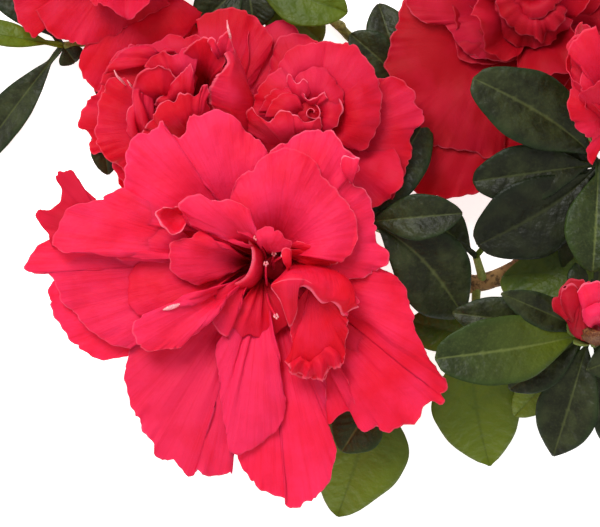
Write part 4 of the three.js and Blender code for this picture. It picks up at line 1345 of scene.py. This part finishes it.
def surfaced(material, colour, height, strength, depth):
    """Gives a material its colour and its relief, of this strength and this many metres deep."""
    tree = material.node_tree
    shader = tree.nodes["Principled BSDF"]
    relief = add_node(material, "Bump", {"Strength": strength, "Distance": depth, "Height": height})
    tree.links.new(colour, shader.inputs["Base Color"])
    tree.links.new(relief, shader.inputs["Normal"])
    return material


def petal_material(name, body, deep, throat, pale, wrinkled):
    """Azalea petal: a living sheet of moist cells that lets a little light through. It looks satin,
    evenly red, with painted shade darkening its throat, fine lengthwise veins and a painted highlight
    along its thin margin."""
    material = new_material(
        name,
        Roughness=0.55,
        IOR=1.4,
        Specular_IOR_Level=0.13,
        Subsurface_Weight=0.25,
        Subsurface_Scale=0.001,
        Subsurface_Radius=(1.0, 0.2, 0.3),
    )
    keys = ("reach", "side", "seed", "brim", "deep", "tone", "pale")
    known = {key: add_node(material, "Attribute", out="Fac", attribute_name=key) for key in keys}
    place = add_node(material, "TexCoord", out="Object")
    # Soft blotches about 8 mm across
    blotches = add_node(material, "TexNoise", {"Vector": place, "Scale": 120, "Detail": 3})
    span = {"Value": blotches, "From Min": 0.3, "From Max": 0.7, "To Min": -0.3, "To Max": 0.3}
    uneven = add_node(material, "MapRange", span, interpolation_type="SMOOTHSTEP")
    # The petal's tone, set high on petals that lie in shade and so partly painted shade, made uneven by the
    # blotches
    redder = add_node(material, "Math", {0: known["tone"], 1: uneven}, operation="ADD", use_clamp=True)
    colour = coated(material, linear(body), deep, redder, step="LINEAR")
    # Veins run lengthwise about 1 mm apart
    spread = add_node(material, "CombineXYZ", {"X": known["side"], "Y": known["reach"], "Z": known["seed"]})
    stretched = add_node(material, "Mapping", {"Vector": spread, "Scale": (20, 1.6, 5)})
    veins = add_node(material, "TexNoise", {"Vector": stretched, "Scale": 1, "Detail": 3, "Roughness": 0.6})
    colour = coated(material, colour, deep, veins, 0.48, 0.7, 0.28)
    # Painted shade down in the throat, and near the foot of petals that have their own dark reach
    colour = coated(material, colour, throat, known["deep"])
    # The margin catches the light in places only
    places = add_node(material, "TexNoise", {"Vector": place, "Scale": 150, "Detail": 1})
    span = {"Value": places, "From Min": 0.35, "From Max": 0.6, "To Min": 0.5, "To Max": 1.0}
    shown = add_node(material, "MapRange", span, interpolation_type="SMOOTHSTEP")
    span = {"Value": known["brim"], "From Min": 0.1, "From Max": BRIM, "To Min": 1.0, "To Max": 0.0}
    thin = add_node(material, "MapRange", span, interpolation_type="SMOOTHSTEP")
    hem = add_node(material, "Math", {0: shown, 1: thin}, operation="MULTIPLY")
    hem = add_node(material, "Math", {0: hem, 1: known["pale"]}, operation="MULTIPLY")
    colour = coated(material, colour, pale, hem, step="LINEAR")
    # Crepe-like wrinkles about 1.5 mm apart, with the veins on them
    crepe = add_node(material, "TexNoise", {"Vector": place, "Scale": 700, "Detail": 3})
    height = add_node(material, "Math", {0: crepe, 1: veins}, operation="ADD")
    return surfaced(material, colour, height, wrinkled, 0.0004)


def leaf_material(name, body, light, rib, edge, under):
    """Azalea leaf: leathery blade under a thin wax, darker between its veins. It has a low satin shine,
    paler veins and a dull paler underside."""
    material = new_material(name, Roughness=0.42, IOR=1.45, Specular_IOR_Level=0.22)
    keys = ("side", "vein", "under", "glow", "tone")
    known = {key: add_node(material, "Attribute", out="Fac", attribute_name=key) for key in keys}
    place = add_node(material, "TexCoord", out="Object")
    # Patches about 4 mm across and a grain of about 0.4 mm
    patches = add_node(material, "TexNoise", {"Vector": place, "Scale": 240, "Detail": 4})
    grain = add_node(material, "TexNoise", {"Vector": place, "Scale": 2400, "Detail": 2})
    colour = coated(material, linear(body), light, patches, 0.35, 0.7)
    colour = coated(material, colour, rib, grain, 0.45, 0.8, 0.08)
    # Young leaves are yellower towards one end
    colour = coated(material, colour, YELLOW_GREEN, known["glow"], most=0.8)
    colour = coated(material, colour, rib, known["vein"], 0.1, 1.0, 0.3)
    # The green is purer in the last 2 mm or so at the margin
    sides = add_node(material, "Math", {0: known["side"]}, operation="ABSOLUTE")
    colour = coated(material, colour, edge, sides, 0.7, 1.0, 0.5)
    # Painted shade on leaves turned away from the light, by their tone
    colour = coated(material, colour, SHADED_GREEN, known["tone"], step="LINEAR")
    colour = coated(material, colour, under, known["under"], 0.4, 0.6, 0.8)
    # Swellings about 1.5 mm across between the finest veins
    swollen = add_node(material, "TexNoise", {"Vector": place, "Scale": 650, "Detail": 1})
    height = add_node(material, "Math", {0: grain, 1: 0.25, 2: swollen}, operation="MULTIPLY_ADD")
    return surfaced(material, colour, height, 0.6, 0.0006)


def bark_material(name, body, dark, light, roughness):
    """Azalea bark: dead cork on the old stem and green skin on the young shoots. It is dull and finely
    fissured lengthwise."""
    material = new_material(name, Roughness=roughness, IOR=1.45)
    place = add_node(material, "TexCoord", out="Object")
    # Fissures about 1 mm apart
    cracks = add_node(material, "TexNoise", {"Vector": place, "Scale": 900, "Detail": 5, "Roughness": 0.65})
    patches = add_node(material, "TexNoise", {"Vector": place, "Scale": 220, "Detail": 2})
    colour = coated(material, linear(body), light, patches, 0.35, 0.7)
    colour = coated(material, colour, dark, cracks, 0.45, 0.62, 0.8)
    return surfaced(material, colour, cracks, 0.6, 0.0003)


def plain_part_material(name, body, light, roughness):
    """Small soft flower part: a waxy living skin with a slightly mealy surface, seen only as a point of
    colour."""
    material = new_material(
        name, Roughness=roughness, IOR=1.4, Subsurface_Weight=0.1, Subsurface_Scale=0.0005
    )
    place = add_node(material, "TexCoord", out="Object")
    # Grains about 0.3 mm across
    grain = add_node(material, "TexNoise", {"Vector": place, "Scale": 3000, "Detail": 2})
    colour = coated(material, linear(body), light, grain, 0.4, 0.7)
    return surfaced(material, colour, grain, 0.4, 0.0002)


def colour_property(name, description, colour):
    """A property that holds a colour, with its sRGB hex default."""
    return bpy.props.FloatVectorProperty(
        name=name, description=description, subtype="COLOR", size=3, min=0, max=1, default=linear(colour)[:3]
    )


def length_property(name, description, millimetres):
    """A property that holds a length, with its default in millimetres."""
    return bpy.props.FloatProperty(
        name=name, description=description, unit="LENGTH", default=millimetres * MM
    )


def number_property(name, description, value):
    """A property that holds a plain number."""
    return bpy.props.FloatProperty(name=name, description=description, default=value)


class AzaleaPetalSettings(bpy.types.PropertyGroup):
    """What the petals look like."""

    thick: length_property("Thickness", "How thick a petal is", 0.26)
    body: colour_property("Petal", "The colour of the open bloom in front", "#ea2a56")
    # This red is also what a petal's tone leans to, so it is partly painted shade
    deep: colour_property("Petal blotches", "The deeper red of its blotches and veins", "#d40e24")
    # The red and dark petal colours are partly the blooms' own deeper red and partly painted shade
    red_body: colour_property("Red petal", "The colour of the redder blooms", "#d62850")
    red_deep: colour_property("Red petal blotches", "The deeper red of their blotches and veins", "#c20a20")
    dark_body: colour_property("Dark petal", "The colour of the darkest bloom and the bud", "#c81a3c")
    dark_deep: colour_property("Dark petal blotches", "The deeper red of their blotches and veins", "#a20a1a")
    # The colour of the painted shade down in a bloom's throat
    throat: colour_property("Throat", "The colour down in the middle of a bloom", "#7e060c")
    # The colour of the painted highlight where a petal's thin margin catches the light
    pale: colour_property("Margin", "The colour of a petal's thin margin", "#ff7088")


class AzaleaLeafSettings(bpy.types.PropertyGroup):
    """What the leaves look like."""

    thick: length_property("Thickness", "How thick a leaf is", 0.4)
    fold: number_property("Fold", "How far the halves fold up, in degrees", 15)
    arch: number_property("Arch", "How far a leaf bends along it, in degrees", 34)
    dark: colour_property("Old leaf", "The dark green of most leaves", "#1c1f0e")
    middle: colour_property("Middle leaf", "The green of leaves of middle age", "#242d12")
    bright: colour_property("Young leaf", "The yellow-green of the lowest leaves", "#45530f")
    rib: colour_property("Rib", "The lighter green of the veins", "#6c7440")


class AzaleaWoodSettings(bpy.types.PropertyGroup):
    """What the stem, boughs and stalks look like."""

    relief: length_property("Bark relief", "How far the bark's ridges stand up", 0.12)
    bark: colour_property("Bark", "The brown of the old stem", "#86603a")
    shoot: colour_property("Shoot", "The green-brown of the young boughs", "#6f7a2c")


class AzaleaStageSettings(bpy.types.PropertyGroup):
    """Floor, light and camera."""

    lamp: number_property("Lamp", "Power of the soft lamp in watts", 7)
    sky: number_property("Surround", "Strength of the even light", 0.75)
    glow: number_property("Light table", "How strongly the floor glows", 0.75)
    floor: colour_property("Floor", "The colour of the floor", "#ffffff")


def dress(piece, node):
    """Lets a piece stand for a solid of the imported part."""
    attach(piece, "root")
    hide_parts(node)


def make_petal_looks(petals):
    """Makes the materials of the blooms: three reds of petal, the two darker ones partly painted shade,
    green parts, pale parts and brown scales.
    """
    throat, pale = hexed(petals.throat), hexed(petals.pale)
    petal_material(LOOK_NAMES[PETAL_LOOK], hexed(petals.body), hexed(petals.deep), throat, pale, 0.5)
    red, dark = (petals.red_body, petals.red_deep), (petals.dark_body, petals.dark_deep)
    # The darker looks have painted margin highlights of their own
    petal_material(LOOK_NAMES[RED_LOOK], *map(hexed, red), throat, "#f66a80", 0.35)
    petal_material(LOOK_NAMES[DEEP_LOOK], *map(hexed, dark), throat, "#f06a80", 0.12)
    plain_part_material(LOOK_NAMES[CALYX_LOOK], "#5c6a2a", "#7c8640", 0.6)
    plain_part_material(LOOK_NAMES[ANTHER_LOOK], "#ee8090", "#ffb8b4", 0.7)
    plain_part_material(LOOK_NAMES[SCALE_LOOK], "#5b2a12", "#8a5a30", 0.6)


def add_petals(shell, bloom, thickness):
    """Adds all the petals of a bloom."""
    throat = from_picture(*bloom.throat)
    sheets = {Drawn: drawn_sheet, Ribbed: ribbed_sheet, Rolled: rolled_sheet, Petal: petal_sheet}
    for petal in bloom.petals:
        middle, known = sheets[type(petal)](petal)
        if isinstance(petal, Petal):
            middle = placed(bloom, middle)
        thick = thickness * (1 - 0.6 * known["reach"] ** 8)
        # Painted shade in the throat: full near its middle, gone further out, and for some petals also near
        # their own foot
        distance = np.linalg.norm(middle - throat, axis=2)
        deep = 1 - (distance - THROAT_SHADE_NEAR) / (THROAT_SHADE_FAR - THROAT_SHADE_NEAR)
        if petal.dark:
            deep = np.maximum(deep, 1 - np.linalg.norm(middle - middle[0].mean(axis=0), axis=2) / petal.dark)
        look = bloom.look if petal.look is None else petal.look
        tone = bloom.tone if petal.tone is None else petal.tone
        add_sheet(shell, middle, thick, look, deep=np.clip(deep, 0, 1), tone=tone, pale=petal.pale, **known)


def add_furled(shell, bloom, petals=5):
    """Adds petals wrapped round each other over an egg-shaped bud."""
    radii, heights = np.array(bloom.furled).T
    t = np.linspace(0, 1, 26)[:, None]
    side = np.linspace(-1, 1, 25)[None, :]
    shape = np.ones_like(side * t)
    z = heights[0] + (heights[-1] - heights[0]) * t
    for number in range(petals):
        radius = np.interp(z, heights, radii) * (1 + 0.03 * number) + 0.1
        angle = math.radians(72 * number) + side * math.radians(62) + 1.1 * t
        lifted = radius + 0.5 * np.clip(side, 0, 1) ** 4 * t + 0.12 * np.sin(14 * side + number) * t
        middle = np.stack([lifted * np.cos(angle), lifted * np.sin(angle), z * shape], axis=2)
        known = {"reach": (0.45 + 0.5 * t) * shape, "side": side * shape, "seed": number, "brim": NO_BRIM}
        add_sheet(shell, placed(bloom, middle), 0.3, DEEP_LOOK, tone=bloom.tone, **known)


def add_stalk(shell, bloom):
    """Adds the tube under a bloom, its small green cup and the stalk from the bough that carries it."""
    points = [bloom.carrier, placed(bloom, (0, 0, -3)), placed(bloom, (0, 0, 0.5))]
    line = smooth_line(points, STALK_RINGS)
    add_tube(shell, line, np.full(STALK_RINGS, STALK_RADIUS), STALK_SIDES, CALYX_LOOK)
    tube = placed(bloom, np.linspace((0, 0, -0.5), (0, 0, 7), THROAT_RINGS))
    radii = np.linspace(*THROAT_RADII, THROAT_RINGS)
    # The throat's tube is drawn deepest red, with painted throat shade on it
    add_tube(shell, tube, radii, THROAT_SIDES, PETAL_LOOK, seed=1.0, brim=NO_BRIM, tone=1.0, deep=0.6)
    for i in range(SEPALS):
        sepal = Petal(
            360 / SEPALS * i + 20, 5, 32, 60, 35, ruffle=0.1, waves=1, phase=i, seat=-0.8,
            edge=0, frill=0, crumple=0,
        )
        middle, known = petal_sheet(sepal, 10, 9)
        add_sheet(shell, placed(bloom, middle), 0.35, CALYX_LOOK, **known)


def add_stamen(shell, points):
    """Adds one thin thread out of the throat, with its pale mealy head."""
    line = smooth_line(points, THREAD_RINGS)
    radii = np.linspace(*THREAD_RADII, THREAD_RINGS)
    add_tube(shell, line, radii, THREAD_SIDES, PETAL_LOOK, seed=2.0, brim=NO_BRIM, tone=0.6)
    for number in range(ANTHER_GRAINS):
        turn = GOLDEN * number
        spread = 0.32 * np.array([math.cos(turn), math.sin(turn), 0.5 * math.sin(2 * turn)])
        tip = line[-1] + spread + unit(line[-1] - line[-2]) * np.linspace(-0.25, 0.4, 6)[:, None]
        radii = 0.2 * np.sin(np.linspace(0.3, math.pi - 0.3, 6)) ** 0.5
        add_tube(shell, tip, radii, THREAD_SIDES, ANTHER_LOOK)


def short_stamens(bloom):
    """Five short stamens for a bloom whose throat hardly shows."""
    lines = []
    for i in range(STAMENS):
        turn = math.radians(360 / STAMENS * i + 15)
        tall = 11 + 2 * math.sin(2.3 * i)
        outward = np.array([math.cos(turn), math.sin(turn), 0])
        lines.append(placed(bloom, [(0, 0, 4), outward + (0, 0, 8), 3 * outward + (0, 0, tall)]))
    return lines


def make_bloom(context, name, bloom):
    """Makes a bloom or bud: its petals, its stalk and, where it is open, its stamens."""
    petals = context.scene.azalea_petals
    if LOOK_NAMES[0] not in bpy.data.materials:
        make_petal_looks(petals)
    shell = Shell()
    add_petals(shell, bloom, petals.thick / MM)
    if bloom.furled:
        add_furled(shell, bloom)
    add_stalk(shell, bloom)
    if not bloom.furled:
        drawn = [[from_picture(*point) for point in line] for line in bloom.stamens]
        for line in drawn or short_stamens(bloom):
            add_stamen(shell, line)
    for broad, points in bloom.threads:
        radii = 0.06 + broad * np.sin(math.pi * np.linspace(0, 1, 16) ** 1.6)
        add_tube(shell, seen_line(points, 16), radii, THREAD_SIDES, ANTHER_LOOK)
    looks = [bpy.data.materials[look] for look in LOOK_NAMES]
    dress(shell.make("petals_" + name, looks), name)


def bark_relief(length, height, along, angle):
    """How far bark stands up: wandering ridges, finer ones across them, and a low joint at each step."""
    walked = along * length
    ridges = np.sin(7 * angle + 0.9 * np.sin(0.8 * walked)) * np.sin(1.1 * walked + 2 * np.sin(angle))
    joints = 2.2 * np.exp(-(((np.mod(walked, JOINT_STEP) - 5) / 0.7) ** 2)) * (1 + np.cos(angle - walked))
    return height * (0.7 * ridges + 0.4 * np.sin(11 * angle + 2.3 * walked) + joints)


class AZALEA_OT_wood(bpy.types.Operator):
    """Makes the main stem and the boughs"""

    bl_idname = "azalea.wood"
    bl_label = "Stem and boughs"

    def execute(self, context):
        """Makes a bark for each limb, under its own skin by the height of the ridges."""
        wood = context.scene.azalea_wood
        bark = bark_material("azalea_bark", hexed(wood.bark), "#3a2414", "#b08c58", 0.85)
        shoot = bark_material("azalea_shoot", hexed(wood.shoot), "#4d4418", "#857a3c", 0.7)
        for name, (points, wide, narrow) in LIMBS.items():
            stem, bough = (STEM_RINGS, bark, "wood"), (BOUGH_RINGS, shoot, "shoot")
            rings, look, slot_name = stem if name == "main_stem" else bough
            line = smooth_line(points, rings)
            length = np.linalg.norm(np.diff(line, axis=0), axis=1).sum()
            relief = partial(bark_relief, length, wood.relief / MM)
            shell = Shell()
            radii = np.linspace(wide, narrow, rings) - BARK_ROOM
            add_tube(shell, line, radii, LIMB_SIDES, 0, relief)
            dress(shell.make("bark_" + name, [look]), name)
        return {"FINISHED"}


class AZALEA_OT_open_blooms(bpy.types.Operator):
    """Makes the five open blooms"""

    bl_idname = "azalea.open_blooms"
    bl_label = "Open blooms"

    def execute(self, context):
        """Makes each bloom that isn't furled."""
        for name, bloom in BLOOMS.items():
            if not bloom.furled:
                make_bloom(context, name, bloom)
        return {"FINISHED"}


class AZALEA_OT_buds(bpy.types.Operator):
    """Makes the half-open bloom and the bud"""

    bl_idname = "azalea.buds"
    bl_label = "Half-open bloom and bud"

    def execute(self, context):
        """Makes each bloom that is furled."""
        for name, bloom in BLOOMS.items():
            if bloom.furled:
                make_bloom(context, name, bloom)
        return {"FINISHED"}


class AZALEA_OT_leaf_sprays(bpy.types.Operator):
    """Makes the eleven sprays of leaves"""

    bl_idname = "azalea.leaf_sprays"
    bl_label = "Leaf sprays"

    def execute(self, context):
        """Makes each spray's stalk and leaves as one piece."""
        leaves = context.scene.azalea_leaves
        dark, middle_green, bright, rib = map(hexed, (leaves.dark, leaves.middle, leaves.bright, leaves.rib))
        looks = [
            leaf_material("azalea_leaf_dark", dark, "#32381d", rib, "#172e10", "#5a6434"),
            leaf_material("azalea_leaf_middle", middle_green, "#303c18", "#8a9450", "#2a4012", "#66703a"),
            leaf_material("azalea_leaf_bright", bright, "#36470f", "#33420f", "#4e5c10", "#7a8440"),
            plain_part_material("azalea_leaf_stalk", hexed(context.scene.azalea_wood.shoot), "#8a8c40", 0.6),
        ]
        for name, (at, carrier, members) in SPRAYS.items():
            shell = Shell()
            line = smooth_line([carrier, (np.array(carrier) + at) / 2, at], SPRAY_RINGS)
            add_tube(shell, line, np.linspace(*SPRAY_RADII, SPRAY_RINGS), STALK_SIDES, STALK)
            for leaf in members:
                middle, known = leaf_sheet(leaf, at, leaves.fold, leaves.arch)
                thick = leaves.thick / MM * (1 + 1.2 * np.clip(1 - known["reach"] / 0.12, 0, 1))
                add_sheet(shell, middle, thick, leaf.green, **known)
            dress(shell.make("spray_" + name, looks), name)
        return {"FINISHED"}


def add_camera(scene):
    """Adds the camera, straight above the branch."""
    lens = bpy.data.cameras.new("camera")
    lens.sensor_width = SENSOR
    lens.lens = SENSOR * (CAMERA_HEIGHT - BLOOM_DEPTH) / PICTURE_WIDTH
    lens.clip_start = 0.01
    camera = bpy.data.objects.new("camera", lens)
    camera.location = SHIFT + np.array([0, 0, CAMERA_HEIGHT]) * MM
    scene.collection.objects.link(camera)
    scene.camera = camera


def add_floor(scene, stage):
    """Adds the floor: matt white board lit from below, as on a light table, so bright that shadows hardly
    show."""
    mesh = bpy.data.meshes.new("floor")
    corners = [(x * FLOOR_HALF, y * FLOOR_HALF, 0) for x, y in ((-1, -1), (1, -1), (1, 1), (-1, 1))]
    mesh.from_pydata(corners, [], [(0, 1, 2, 3)])
    board = new_material(
        "matt_white_board", Roughness=0.9, Emission_Strength=stage.glow, Emission_Color=(1, 1, 1, 1)
    )
    place = add_node(board, "TexCoord", out="Object")
    grain = add_node(board, "TexNoise", {"Vector": place, "Scale": 400, "Detail": 2})
    colour = coated(board, linear(hexed(stage.floor)), "#fafafa", grain, step="LINEAR")
    board.node_tree.links.new(colour, board.node_tree.nodes["Principled BSDF"].inputs["Base Color"])
    mesh.materials.append(board)
    floor = bpy.data.objects.new("floor", mesh)
    scene.collection.objects.link(floor)


def add_light(scene, stage):
    """Adds a soft lamp behind the left shoulder and an even light from all sides."""
    lamp = bpy.data.lights.new("soft_box", "AREA")
    lamp.shape = "DISK"
    lamp.size = 0.5
    lamp.energy = stage.lamp
    soft_box = bpy.data.objects.new("soft_box", lamp)
    soft_box.location = (-0.3, 0.5, 0.8)
    direction = Vector((0, 0, 0.02)) - soft_box.location
    soft_box.rotation_euler = direction.to_track_quat("-Z", "Y").to_euler()
    scene.collection.objects.link(soft_box)
    world = bpy.data.worlds.new("surround")
    world.use_nodes = True
    background = world.node_tree.nodes["Background"]
    background.inputs["Color"].default_value = (1, 1, 1, 1)
    background.inputs["Strength"].default_value = stage.sky
    scene.world = world


class AZALEA_OT_stage(bpy.types.Operator):
    """Makes the floor, the soft light and the camera that looks down on the branch"""

    bl_idname = "azalea.stage"
    bl_label = "Floor, light and camera"

    def execute(self, context):
        """Makes the stage and shows its colours plainly."""
        scene = context.scene
        add_camera(scene)
        add_floor(scene, scene.azalea_stage)
        add_light(scene, scene.azalea_stage)
        scene.view_settings.view_transform = "Standard"
        return {"FINISHED"}


class AZALEA_PT_panel(bpy.types.Panel):
    """Lists the steps that make the branch, and their settings"""

    bl_idname = "AZALEA_PT_panel"
    bl_label = "Azalea branch"
    bl_space_type = "VIEW_3D"
    bl_region_type = "UI"
    bl_category = "Azalea"

    def draw(self, context):
        """Draws a button for each step and a field for each setting."""
        for operator in OPERATORS:
            self.layout.operator(operator.bl_idname)
        for holder in HOLDERS:
            group = getattr(context.scene, holder)
            for key in group.__annotations__:
                self.layout.prop(group, key)


OPERATORS = (
    AZALEA_OT_stage,
    AZALEA_OT_wood,
    AZALEA_OT_open_blooms,
    AZALEA_OT_buds,
    AZALEA_OT_leaf_sprays,
)
HOLDERS = {
    "azalea_petals": AzaleaPetalSettings,
    "azalea_leaves": AzaleaLeafSettings,
    "azalea_wood": AzaleaWoodSettings,
    "azalea_stage": AzaleaStageSettings,
}
CLASSES = (*HOLDERS.values(), *OPERATORS, AZALEA_PT_panel)


def register():
    """Registers the settings, the steps and the panel."""
    for item in CLASSES:
        bpy.utils.register_class(item)
    for holder, group in HOLDERS.items():
        setattr(bpy.types.Scene, holder, bpy.props.PointerProperty(type=group))


def unregister():
    """Takes out what register put in."""
    for holder in HOLDERS:
        delattr(bpy.types.Scene, holder)
    for item in reversed(CLASSES):
        bpy.utils.unregister_class(item)


def main():
    """Makes the stage and then the branch, step by step."""
    register()
    bpy.ops.azalea.stage()
    bpy.ops.azalea.wood()
    bpy.ops.azalea.open_blooms()
    bpy.ops.azalea.buds()
    bpy.ops.azalea.leaf_sprays()


if __name__ == "__main__":
    main()
